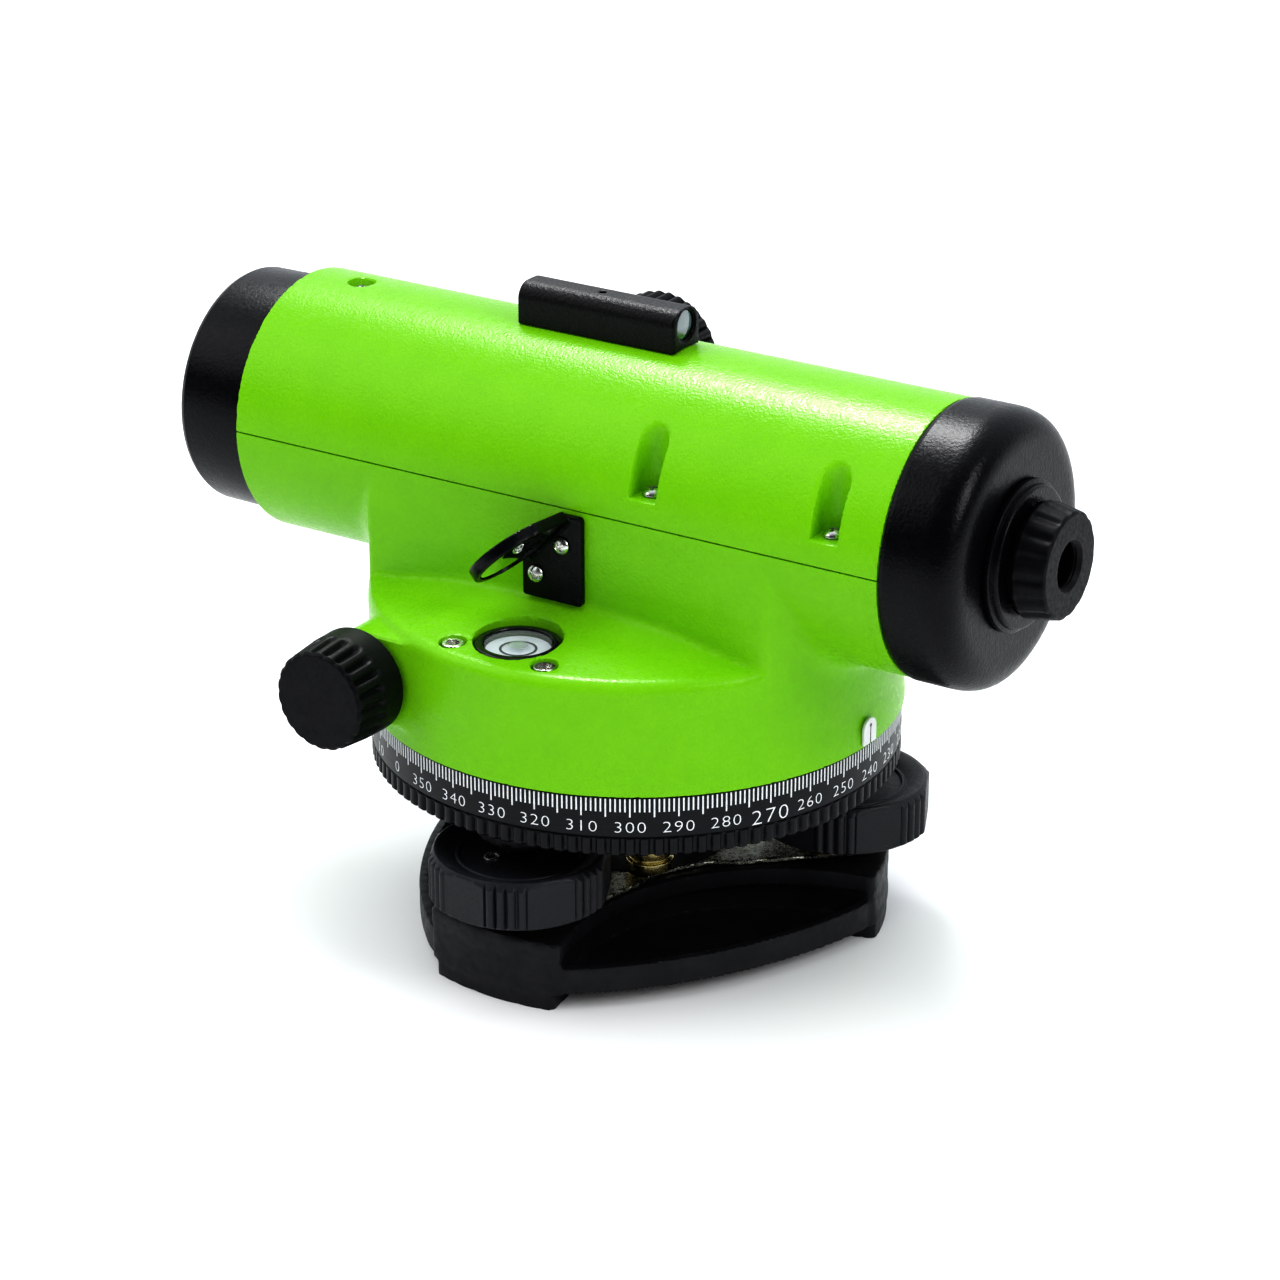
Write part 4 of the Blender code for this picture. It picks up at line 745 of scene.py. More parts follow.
def place_screw(name, node, field, size, origin, axis=(0, 0, 1), spin=0.0, shank=None):
    """A screw on the body: its head from a field, of a radius and height, and its shank."""
    head_r, head_h = size
    reach = head_r + 0.1
    parts = [cast_mesh(field(head_r, head_h), (-reach, -reach, -0.1), (reach, reach, head_h + 0.2),
                       head_r / 14)]
    if shank is not None:
        radius, depth = shank
        outline = rounded([(0, -depth, 0), (radius, -depth, 0.2), (radius, 0.05, 0)])
        parts.append(lathe_mesh(outline, 24))
    mesh = joined(*parts)
    turn = Vector((0, 0, 1)).rotation_difference(Vector(axis)).to_matrix().to_4x4()
    spin = Matrix.Rotation(math.radians(spin), 4, "Z")
    mesh.transform(Matrix.Translation(Vector(origin) * MM) @ turn @ spin)
    link_mesh(name, mesh, "body", STEEL, [node], sharp=30.0)


def make_screws():
    """Cover screws, bubble adjusters and the mirror bracket's screws."""
    places = [(x, side * SLOT_Y, SLOT_Z + GAP) for x in SLOT_XS for side in (-1, 1)]
    for number, (place, spin) in enumerate(zip(places, (20, 65, 10, 40)), 1):
        place_screw("cover_screw_head_%d" % number, "cover_screw_%d" % number, cross_head_field,
                    (2.3, 1.5), place, spin=spin, shank=(1.2, 10.5))
    place_screw("cover_screw_head_5", "cover_screw_5", cross_head_field, (2.3, 1.3),
                (TOP_SCREW_X, 0, TOP_SCREW_Z + GAP), spin=30, shank=(1.2, 4.5))
    for number in (1, 2):
        node = "bubble_adjuster_%d" % number
        x, y, _ = centre_mm(node)
        place_screw("socket_screw_%d" % number, node, socket_head_field, (2.4, 2.4),
                    (x, y, box_mm(node)[0][2]), spin=12 * number)
    for number, spin in ((1, 25), (2, 70)):
        node = "bracket_screw_%d" % number
        x, _, z = centre_mm(node)
        place_screw("bracket_screw_head_%d" % number, node, cross_head_field, (2.0, 1.1),
                    (x, box_mm(node)[0][1] + 1.0, z), (0, -1, 0), spin, (1.1, 4.5))


# ---- telescope ends
def make_objective():
    """The black hood with its baffle grooves, and the objective."""
    mouth = box_mm("objective_ring")[0][0]
    shoulder = BARREL_X0 - GAP
    back = BARREL_X0 + 5.8
    outside = rounded([
        (22.2, back, 0), (22.2, shoulder - 6.6, 0.2), (22.9, shoulder - 7.2, 0.2)])
    step = 0.75
    start = shoulder - 7.4
    grooves = [start - i * step for i in range(int((start - mouth - 1.6) / step))]
    baffle = [corner for x in grooves for corner in ((23.35, x), (23.75, x - 0.35 * step))]
    rim = rounded([
        (23.5, mouth + 1.6, 0), (23.7, mouth + 0.1, 0.5), (25.9, mouth, 0.9),
        (26.65, mouth + 1.4, 0.9), (26.85, shoulder, 0.35), (SPIGOT_R, shoulder, 0.2),
        (SPIGOT_R, back, 0.3)])
    mesh = lathe_mesh(np.vstack([outside, np.array(baffle), rim]), 144, closed=True, **TELESCOPE)
    link_mesh("objective_hood", mesh, "body", BLACK, ["objective_ring"])
    front = shoulder - 6.0
    turned("objective_glass", "body", "coated_glass", LENS, [
        (0, front - 1.5, 0), (8, front - 1.28, 6), (15, front - 0.6, 6), (21.9, front + 0.9, 0.3),
        (21.9, shoulder + 2, 0.3), (12, shoulder + 2.4, 4), (0, shoulder + 2.7, 0)], 96,
        ["objective_lens"], **TELESCOPE)
    turned("objective_retainer", "body", "black_paint", BLACK, [
        (21.3, front - 0.5, 0.15), (22.1, front - 0.5, 0.15), (22.1, front + 0.2, 0.1),
        (21.3, front + 0.2, 0.1)], 96, closed=True, **TELESCOPE)


def make_cap():
    """The black cap over the eyepiece end, and the collar on it."""
    low, high = box_mm("eyepiece_cap")
    start = BARREL_X1 + GAP
    face, cap_r = high[:2]
    bore = SPIGOT_R - 2.4
    turned("end_cap", "body", "black_paint", BLACK, [
        (cap_r - 0.25, start, 0.3), (cap_r, start + 1.0, 0.8), (cap_r, face, 8.4),
        (13.0, face, 0.3), (13.0, face - 2.6, 0.2), (21.0, face - 2.6, 1.0),
        (bore, face - 7.6, 1.0), (bore, low[0], 0.2), (SPIGOT_R, low[0], 0.3),
        (SPIGOT_R, start, 0.2)], 160, ["eyepiece_cap"], steps=14, closed=True, **TELESCOPE)
    seat = face + GAP
    turned("cap_collar", "body", "black_paint", BLACK, [
        (10.2, 80.0, 0.2), (12.7, 80.0, 0.2), (12.7, seat, 0.1), (16.0, seat, 0.15),
        (16.0, seat + 1.1, 0.3), (15.1, seat + 1.3, 0.1), (15.0, 95.0, 0.8), (11.6, 95.0, 0.3),
        (11.2, 92.0, 0.2), (10.2, 92.0, 0.2)], 128, ["eyepiece_collar"], closed=True,
        **TELESCOPE)


def make_eyepiece():
    """The fluted eyepiece ring with its threaded eye hole, and the ocular lens."""
    flutes = 16
    face = box_mm("eyepiece_ring")[1][0]
    back = 96.2
    outline = rounded([
        (8.3, 88.2, 0.2), (9.9, 88.2, 0.3), (9.9, back, 0.1), (11.9, back, 0.4),
        (12.4, back + 0.8, 0.6), (12.2, 98.6, 1.0), (11.3, face - 0.3, 0.6), (10.6, face, 0.35),
        (5.5, face, 0.25), (5.15, face - 0.5, 0.1)])
    thread = [(5.15 - 0.35 * (k % 2), face - 0.6 - 0.32 * k) for k in range(1, 5)]
    inner = rounded([(5.1, 101.2, 0), (8.3, 101.2, 0.2), (8.3, 88.2, 0)])
    whole = np.vstack([finer(outline, 0.7), np.array(thread), inner[:-1]])

    def fluted(angle, r, h):
        grip = np.clip((h - back - 0.3) / 0.8, 0, 1) * np.clip((face + 0.2 - h) / 1.2, 0, 1)
        wave = 0.5 + 0.5 * np.cos(flutes * angle)
        return r - 0.55 * grip * wave ** 2.2 * (r > 9.0)

    mesh = lathe_mesh(whole, 256, radial=fluted, closed=True, **TELESCOPE)
    link_mesh("eyepiece_grip", mesh, "eyepiece_ring", PLASTIC,
              ["eyepiece_ring"], sharp=40.0)
    turned("ocular_glass", "ocular", "coated_glass", LENS, [
        (0, 98.0, 0), (3.0, 97.75, 1.5), (5.5, 97.0, 0.1), (5.5, 95.0, 0.2), (0, 95.4, 0)], 64,
        ["ocular_lens"], **TELESCOPE)


# ---- sight and index
def sight_field(p):
    """The sight: straight sides, round shoulders, a bore and a small set screw hole on top."""
    half = (SIGHT_HIGH[1] - SIGHT_LOW[1]) / 2
    low, high = SIGHT_LOW[0], SIGHT_HIGH[0]
    shoulder = 3.6
    y, z = np.abs(p[:, 1]), p[:, 2]
    a = np.maximum(y - half + shoulder, 0.0)
    b = np.maximum(z - SIGHT_HIGH[2] + shoulder, 0.0)
    section = np.maximum(length_of(a, b) - shoulder, y - half)
    body = smooth_max(section, slab(p[:, 0], low, high), 0.7)
    body = smooth_max(body, BARREL_R + GAP - barrel_radius(p), 0.2)
    bore = length_of(p[:, 1], z - SIGHT_AXIS_Z) - SIGHT_BORE_R
    counter = np.maximum(bore - 0.35, high - 0.35 - p[:, 0])
    body = smooth_max(body, -np.minimum(bore, counter), 0.25)
    hole = rod_field(p, 2, (low + 0.47 * (high - low), 0, 0), 0.9, SIGHT_HIGH[2] - 1.2, 150.0)
    return smooth_max(body, -hole, 0.25)


def make_sight():
    """The sight on the cover, with a glass at each end."""
    cast("sight_housing", sight_field, SIGHT_LOW, SIGHT_HIGH, 0.32, "body",
         WRINKLE, ["sight_body"])
    glass_r = SIGHT_BORE_R - 0.1
    for name, node in (("sight_rear_glass", "sight_window"), ("sight_front_glass", "sight_lens")):
        low, high = box_mm(node)
        turned(name, "body", "coated_glass", SIGHT_GLASS, [
            (0, low[0] - 0.1, 0), (glass_r, low[0], 0.15), (glass_r, high[0], 0.15),
            (0, high[0] + 0.1, 0)], 48, [node], axis=(1, 0, 0), origin=(0, 0, SIGHT_AXIS_Z))


def make_index():
    """The silver index tab, curved round the skirt, with its black line and dot."""
    low, high = box_mm("index_tab")
    angle = math.radians(-0.9)
    half = 2.5
    reach = SKIRT_R + 0.9
    top = high[2]

    def tab_field(p):
        side = (np.arctan2(p[:, 1], p[:, 0]) - angle) * SKIRT_R
        up = p[:, 2] - (top - half)
        stadium = np.where(up > 0, length_of(side, up), np.abs(side)) - half
        flat = np.abs(off_axis(p) - reach - 0.05) - 0.35
        return smooth_max(np.maximum(stadium, low[2] - p[:, 2]), flat, 0.25)

    grow = np.array((0.6, 0.3, 0.0))
    cast("index_plate", tab_field, low - grow, high + grow, 0.16, "body", LABEL,
         ["index_tab"], 30.0)
    face = reach + 0.42
    turn = 0.17 / face
    line = curved_strip(face, angle - turn, angle + turn, low[2] + 0.1, top - 1.6, 2)
    dot = curved_disc(face, angle, top - 1.6, 0.42, 16)
    link_mesh("index_line", joined(line, dot), "body", BLACK)


def curved_strip(radius, start, end, low, high, steps, thick=0.05):
    """A thin upright strip bent round the vertical axis."""
    points, faces = [], []
    for i in range(steps + 1):
        angle = start + (end - start) * i / steps
        for r in (radius - thick, radius):
            for z in (low, high):
                points.append((r * math.cos(angle), r * math.sin(angle), z))
    for i in range(steps):
        a, b = 4 * i, 4 * i + 4
        faces += [(a + 2, b + 2, b + 3, a + 3), (a, a + 1, b + 1, b),
                  (a + 1, a + 3, b + 3, b + 1), (a, b, b + 2, a + 2)]
    last = 4 * steps
    faces += [(0, 2, 3, 1), (last, last + 1, last + 3, last + 2)]
    return raw_mesh(points, faces)


def curved_disc(radius, angle, height, size, sides, thick=0.05):
    """A thin disc laid on the face of an upright cylinder."""
    points = []
    for r in (radius - thick, radius):
        for k in range(sides):
            turn = 2 * math.pi * k / sides
            a = angle + size * math.cos(turn) / radius
            points.append((r * math.cos(a), r * math.sin(a), height + size * math.sin(turn)))
    faces = [tuple(range(sides, 2 * sides)), tuple(reversed(range(sides)))]
    for k in range(sides):
        m = (k + 1) % sides
        faces.append((k, m, sides + m, sides + k))
    return raw_mesh(points, faces)


# ---- knobs
def make_focus_knob():
    """The ribbed focusing knob on the far side."""
    low, high = box_mm("focus_knob")
    near, face = low[1], high[1]
    radius = (high[0] - low[0]) / 2
    ribs = 32
    outline = rounded([
        (4.0, near, 0), (9.5, near, 0.4), (radius - 1.4, near + 1.4, 0.8),
        (radius, near + 2.6, 0.8), (radius, face - 1.6, 1.4), (radius - 2.2, face, 0.8),
        (9.0, face, 0.4), (8.6, face - 0.5, 0.3), (0, face - 0.5, 0)])
    whole = np.vstack([[(0, near)], finer(outline, 0.9)])

    def ribbed(angle, r, h):
        grip = np.clip((h - near - 1.6) / 1.2, 0, 1) * np.clip((face - 1.0 - h) / 1.0, 0, 1)
        wave = np.abs(np.sin(ribs * angle / 2))
        return r - 1.0 * grip * (1 - wave) * (r > 11)

    mesh = lathe_mesh(whole, 384, (0, 1, 0), (FOCUS_X, 0, FOCUS_Z), ribbed)
    link_mesh("focus_grip", mesh, "focus_knob", PLASTIC, ["focus_knob"],
              sharp=40.0)


def make_drive_knobs():
    """The two slow-motion knobs: a lip by the housing, then a fluted cone."""
    grooves = 22
    for side, hand in ((-1, "left"), (1, "right")):
        low, high = box_mm("drive_knob_" + hand)
        near, face = sorted((abs(low[1]), abs(high[1])))

        def fluted(angle, r, h, near=near, face=face):
            grip = np.clip((h - near - 6.4) / 1.6, 0, 1)
            grip = grip * (0.22 + 0.78 * np.clip((face - 0.7 - h) / 1.0, 0, 1))
            wave = 0.5 + 0.5 * np.cos(grooves * angle)
            return r - 1.1 * grip * wave ** 2.2 * np.clip((r - 9.2) / 1.0, 0, 1)

        turned("drive_grip_" + hand, "drive", "black_plastic", PLASTIC, [
            (0, near, 0), (10.8, near, 0.4), (11.7, near + 0.9, 0.7), (11.6, near + 7.0, 3.0),
            (10.95, face - 0.7, 0.5), (10.35, face, 0.4), (0, face, 0)], 352,
            ["drive_knob_" + hand], 40.0, step=0.6, axis=(0, side, 0),
            origin=(DRIVE_X, 0, DRIVE_Z), radial=fluted)


def foot_ribs(angle, r, h):
    """Radius of a foot knob's side: six flats, with four ribs between each two."""
    groups = 6
    ribs = 4
    flat_share = 0.54
    turn = ((angle + KNOB_TURN) * groups / (2 * math.pi)) % 1.0
    middle = (turn - flat_share / 2) * 2 * math.pi / groups
    edge = flat_share * math.pi / groups
    flat = (KNOB_R - 0.35) * math.cos(edge) / np.cos(middle)
    place = (turn - flat_share) / (1 - flat_share) * ribs
    wave = np.abs(np.sin(math.pi * place)) ** 0.6
    limit = np.where(turn < flat_share, flat, KNOB_R - 1.2 * (1 - wave))
    return np.where(r > 17.0, np.minimum(r, limit), r)


def make_foot_knobs():
    """The foot screws: knob with a small raised ring on it, screw, washer below and nut above."""
    top = KNOB_Z1
    ring_top = KNOB_FLOOR + 0.45
    ring_low = KNOB_FLOOR - 0.2
    for letter in "ABC":
        node = "foot_knob_" + letter
        body = "foot_screw_" + letter
        x, y, _ = centre_mm(node)
        turned("foot_grip_" + letter, body, "black_plastic", GRIP, [
            (4.0, KNOB_Z0, 0), (14.5, KNOB_Z0, 0.8), (18.0, KNOB_Z0 + 0.2, 0.8),
            (KNOB_R, KNOB_Z0 + 1.2, 0.6), (KNOB_R, top - 1.5, 0.25), (KNOB_R - 1.5, top, 0.4),
            (KNOB_R - 2.1, top, 0.3), (13.8, top - 1.7, 0.4), (13.5, top - 1.3, 0.15),
            (13.0, top - 1.3, 0.15), (12.7, KNOB_FLOOR, 0.3), (3.6, KNOB_FLOOR, 0.2),
            (3.2, top - 2.2, 0)], 432, [node], 40.0, step=0.8, origin=(x, y, 0),
            radial=foot_ribs)
        turned("foot_grip_pin_" + letter, body, "bright_steel", STEEL, [
            (1.15, ring_low, 0), (1.15, ring_top, 0.2), (1.9, ring_top, 0.2),
            (1.9, ring_low, 0)], 32, origin=(x - 3.6, y - 5.0, 0), closed=True)
        make_foot_screw(letter, x, y)
        make_foot_bush(letter, x, y)


def make_foot_screw(letter, x, y):
    """The screw through a foot knob: ball end, neck and real thread, and a brass washer."""
    node = "foot_screw_" + letter
    pitch = 1.0
    crest, root = 2.9, 2.35
    top = box_mm(node)[1][2]
    start = KNOB_Z1 - 1.9
    ball_z = 12.0
    ball_r = 5.6
    angles = np.radians(np.linspace(-90, 48, 14))
    outline = [(ball_r * math.cos(a), ball_z + ball_r * math.sin(a)) for a in angles]
    outline += [(3.85, 17.4), (3.85, KNOB_Z0 - 0.2), (3.9, KNOB_Z0), (3.9, start),
                (crest, start)]
    for k in range(int((top - start - 0.6) / (pitch / 8))):
        outline.append((crest, start + 0.1 + k * pitch / 8))
    outline += [(crest - 0.5, top), (0, top)]

    def threaded(angle, r, h):
        phase = (h / pitch - angle / (2 * math.pi)) % 1.0
        depth = np.clip(np.abs(phase - 0.5) * 4.0 - 0.6, 0, 1)
        on = (h > start + 0.05) & (r > root) & (r <= crest + 0.01) & (h < top - 0.05)
        return np.where(on, r - (crest - root) * (1 - depth), r)

    mesh = lathe_mesh(np.array(outline), 48, (0, 0, 1), (x, y, 0), threaded)
    link_mesh("foot_spindle_" + letter, mesh, node, DARK_METAL, [node],
              sharp=40.0)
    seat = SPRING_HIGH[2] + 0.25
    turned("foot_collar_" + letter, node, "brass", BRASS, [
        (3.9, seat, 0.1), (10.3, seat, 0.2), (10.3, seat + 1.0, 0.3), (4.45, seat + 1.2, 0.3),
        (4.45, KNOB_Z0 - 0.1, 0.2), (3.9, KNOB_Z0 - 0.1, 0.1)], 48, origin=(x, y, 0), closed=True)


def make_foot_bush(letter, x, y):
    """The nut of a foot screw, in the levelling head's arm."""
    node = "foot_bush_" + letter
    low, high = box_mm(node)
    radius = (high[0] - low[0]) / 2
    neck = radius - 0.9
    turned("foot_nut_" + letter, "levelling_head" if letter == "A" else "rocker", "brass",
           DARK_METAL, [
               (3.5, low[2], 0.2), (radius, low[2], 0.3), (radius, ARM_Z0 - GAP, 0.3),
               (neck, ARM_Z0 - GAP, 0.1), (neck, high[2], 0.3), (3.5, high[2], 0.3)], 64,
           [node], origin=(x, y, 0), closed=True)


# ---- base
def three_way(p, waist_r, half_angle, sag):
    """Distance, seen from above, to a three-cornered outline with curved sides."""
    best = None
    for direction in FOOT_ANGLES.values():
        a = direction + CORNER_TURN
        left = np.array((math.cos(a + math.radians(half_angle)),
                         math.sin(a + math.radians(half_angle)))) * waist_r
        right = np.array((math.cos(a + math.radians(120 - half_angle)),
                          math.sin(a + math.radians(120 - half_angle)))) * waist_r
        middle = (left + right) / 2
        chord = np.linalg.norm(right - left)
        out = middle / np.linalg.norm(middle)
        bend = (chord * chord / 4 + sag * sag) / (2 * abs(sag))
        if sag > 0:
            centre = middle + out * (bend - sag)
            side = bend - off_axis(p, *centre)
        else:
            centre = middle - out * (bend + sag)
            side = off_axis(p, *centre) - bend
        best = side if best is None else smooth_max(best, side, 2.0)
    return smooth_max(best, off_axis(p) - waist_r, 2.0)


def slant_base(p, direction):
    """Points turned so that a foot's direction is +X."""
    c, s = math.cos(direction), math.sin(direction)
    return p[:, 0] * c + p[:, 1] * s, p[:, 1] * c - p[:, 0] * s


def base_field(p):
    """The black base casting: a waisted body, a flange with pockets, and three corner blocks."""
    waist = three_way(p, CORNER_R, 18.0, 18.1)
    edge = smooth_max(waist, slab(p[:, 2], BASE_TOP - 4.2, BASE_TOP), 0.7)
    core = np.maximum(three_way(p, CORNER_R, 18.0, 21.1), slab(p[:, 2], FLANGE_Z0, BASE_TOP - 1.0))
    tall = smooth_min(edge, core, 0.6)
    skirt = three_way(p, 55.5, 17.7, -6.8)
    flange = smooth_max(skirt, slab(p[:, 2], FLANGE_Z0, FLANGE_Z1), 0.7)
    pocket = three_way(p, 53.2, 17.4, -6.8)
    pocket = np.maximum(pocket, 5.2 - p[:, 2])
    flange = smooth_max(flange, -pocket, 0.4)
    solid = smooth_min(tall, flange, 0.8)
    feet = None
    sockets = None
    for letter, direction in FOOT_ANGLES.items():
        along, beside = slant_base(p, direction + CORNER_TURN)
        foot = smooth_max(np.abs(beside) - 13.2 - (along - 41.0) * 0.18, 41.0 - along, 1.0)
        foot = smooth_max(foot, off_axis(p) - CORNER_R, 1.5)
        foot = smooth_max(foot, slab(p[:, 2], 0.0, FLANGE_Z0 + 1.5), 0.4)
        feet = foot if feet is None else np.minimum(feet, foot)
        x, y = FOOT_PLACES[letter]
        socket = rod_field(p, 2, (x, y, 0), 7.0, 5.8, 30.0)
        sockets = socket if sockets is None else np.minimum(sockets, socket)
    solid = smooth_min(solid, feet, 0.8)
    holes = np.minimum(rod_field(p, 2, (0, 0, 0), 13.0, 0.0, 13.2),
                       rod_field(p, 2, (0, 0, 0), 9.0, 12.0, 30.0))
    solid = smooth_max(solid, -holes, 0.3)
    return smooth_max(solid, -sockets, 0.5)


def plate_field(p):
    """The three-armed spring plate over the foot screws' balls."""
    across = off_axis(p)
    low, high = SPRING_LOW[2], SPRING_HIGH[2]
    shape = across - 20.5
    holes = across - 8.5
    for letter, direction in FOOT_ANGLES.items():
        along, beside = slant_base(p, direction)
        half = np.interp(along, (0.0, 22.0, 50.0), (14.5, 14.5, 8.5))
        arm = smooth_max(np.abs(beside) - half, np.maximum(along - 50.0, -along), 3.0)
        shape = smooth_min(shape, arm, 4.0)
        x, y = FOOT_PLACES[letter]
        holes = np.minimum(holes, off_axis(p, x, y) - 4.7)
    plate = smooth_max(shape, slab(p[:, 2], low, high), 0.25)
    return smooth_max(plate, -holes, 0.2)


def bottom_field(p):
    """The chromated plate under the base, cut clear of the feet."""
    shape = three_way(p, 41.0, 16.0, -6.8)
    for direction in FOOT_ANGLES.values():
        along, _ = slant_base(p, direction)
        shape = np.maximum(shape, along - 40.3)
    plate = smooth_max(shape, slab(p[:, 2], GAP, FLANGE_Z0 - GAP), 0.25)
    return smooth_max(plate, 10.0 - off_axis(p), 0.3)


def make_base():
    """Base casting, its plates, a thin black ring of painted shade, studs and the threaded tripod
    bush.
    """
    cast("tribrach_casting", base_field, BASE_LOW, BASE_HIGH, 0.8, "base", ENAMEL,
         ["base_casting"])
    cast("tribrach_spring", plate_field, SPRING_LOW, SPRING_HIGH, 0.6, "base",
         ZINC, ["spring_plate"])
    # A thin black ring laid on the spring plate round the hub, drawn as painted shade.
    seat = SPRING_HIGH[2] + 0.02
    turned("painted_shade_ring", "base", "base_black", ENAMEL, [
        (8.8, seat, 0), (20.5, seat, 0), (20.5, seat + 0.2, 0.1), (8.8, seat + 0.2, 0.1)], 96,
        closed=True)
    low, high = box_mm("bottom_plate")
    cast("under_plate", bottom_field, low, high, 0.7, "base", CHROMATE,
         ["bottom_plate"])
    floor = SPRING_HIGH[2] + GAP
    for number in (1, 2, 3):
        node = "plate_stud_%d" % number
        low, high = box_mm(node)
        x, y, _ = centre_mm(node)
        head = (high[0] - low[0]) / 2
        neck = head - 0.7
        turned("brass_stud_%d" % number, "base", "brass", BRASS, [
            (0, low[2], 0), (2.2, low[2], 0.3), (2.2, floor, 0), (head, floor, 0.4),
            (head, floor + 2.2, 0.3), (neck, floor + 2.6, 0.3), (neck, floor + 3.4, 0.3),
            (head, floor + 3.8, 0.3), (head, high[2], 0.7), (1.6, high[2], 0.4),
            (1.1, high[2] - 0.8, 0.2), (0, high[2] - 0.8, 0)], 64, [node], origin=(x, y, 0))
    low, high = box_mm("tripod_bush")
    pitch = 25.4 / 11
    steps = int((high[2] - low[2] - 1.2) / (pitch / 8))
    outline = [(12.7, low[2]), (12.7, high[2]), (8.2, high[2])]
    outline += [(7.45, high[2] - 0.6 - k * pitch / 8) for k in range(steps)]
    outline.append((8.2, low[2]))

    def threaded(angle, r, h):
        phase = (h / pitch - angle / (2 * math.pi)) % 1.0
        return np.where(r < 7.6, r + 0.9 * (1 - np.abs(phase - 0.5) * 2), r)

    mesh = lathe_mesh(np.array(outline), 72, radial=threaded, closed=True)
    link_mesh("tripod_thread", mesh, "base", STEEL, ["tripod_bush"], sharp=50.0)


def head_field(p):
    """The levelling head: hub, disc and three arms."""
    across = off_axis(p)
    shape = smooth_max(across - 24.0, slab(p[:, 2], ARM_Z0, ARM_Z1), 0.4)
    holes = None
    for letter, direction in FOOT_ANGLES.items():
        along, beside = slant_base(p, direction)
        spot = np.clip(along, 0.0, FOOT_CIRCLE_R)
        arm = length_of(along - spot, beside) - 9.0
        arm = smooth_max(arm, slab(p[:, 2], ARM_Z0, ARM_Z1), 0.4)
        shape = smooth_min(shape, arm, 0.3)
        x, y = FOOT_PLACES[letter]
        radius = 5.5 + (GAP if letter != "A" else 0.05)
        hole = off_axis(p, x, y) - radius
        holes = hole if holes is None else np.minimum(holes, hole)
    hub = smooth_max(across - 14.0, slab(p[:, 2], HEAD_LOW[2], HEAD_HIGH[2]), 0.5)
    shape = smooth_min(shape, hub, 1.5)
    return np.maximum(shape, -np.minimum(holes, across - 13.0))


def make_head():
    """The levelling head between the foot screws and the circle."""
    cast("head_casting", head_field, HEAD_LOW, HEAD_HIGH, 0.8, "levelling_head",
         DARK_METAL, ["levelling_head"])


# ---- bubble and mirror
def make_bubble():
    """The circular bubble: glossy cup, pale backing, engraved circle, air bubble and glass."""
    low, top = BUBBLE_LOW[2], BUBBLE_HIGH[2]
    inner = 7.4
    floor = 75.9
    pieces = (
        ("bubble_ring", "black_plastic", GLOSS, 128, "bubble_cup",
         [(0, low, 0), (BUBBLE_R, low, 0.2), (BUBBLE_R, top, 0.7), (inner + 0.1, top, 0.4),
          (inner, top - 0.7, 0.1), (inner, floor, 0), (0, floor, 0)]),
        ("bubble_backing", "silver_label", BACKING, 64, None,
         [(0, 76.02, 0), (6.95, 76.02, 0.05), (6.95, 76.25, 0.05), (0, 76.25, 0)]),
        ("bubble_circle", "dial_black", BLACK, 64, None,
         [(3.5, 76.3, 0.02), (4.0, 76.3, 0.02), (4.0, 76.4, 0.02), (3.5, 76.4, 0.02)]),
        ("air_bubble", "clear_glass", AIR, 48, None,
         [(0, 76.95, 0), (1.7, 76.95, 0.25), (2.3, 77.15, 0.2), (1.7, 77.35, 0.2),
          (0, 77.38, 0)]),
        ("bubble_glass", "clear_glass", CLEAR, 96, "bubble_vial",
         [(0, 76.5, 0), (7.1, 76.5, 0.1), (7.1, 77.45, 0.15), (3.6, 77.8, 2.0), (0, 77.9, 0)]),
    )
    for name, slot, material, segments, node, outline in pieces:
        turned(name, "body", slot, material, outline, segments, [node] if node else (),
               origin=(BUBBLE_X, BUBBLE_Y, 0), closed=outline[0][0] > 0)


def mirror_frame():
    """Matrix (in millimetres) whose local +Z is the mirror's outward normal."""
    z = Vector(MIRROR_NORMAL).normalized()
    y = Vector((0, 0, 1)) - z * z.z
    y.normalize()
    x = y.cross(z)
    turn = Matrix((x, y, z)).transposed().to_4x4()
    return Matrix.Translation(Vector(MIRROR_CENTRE)) @ turn


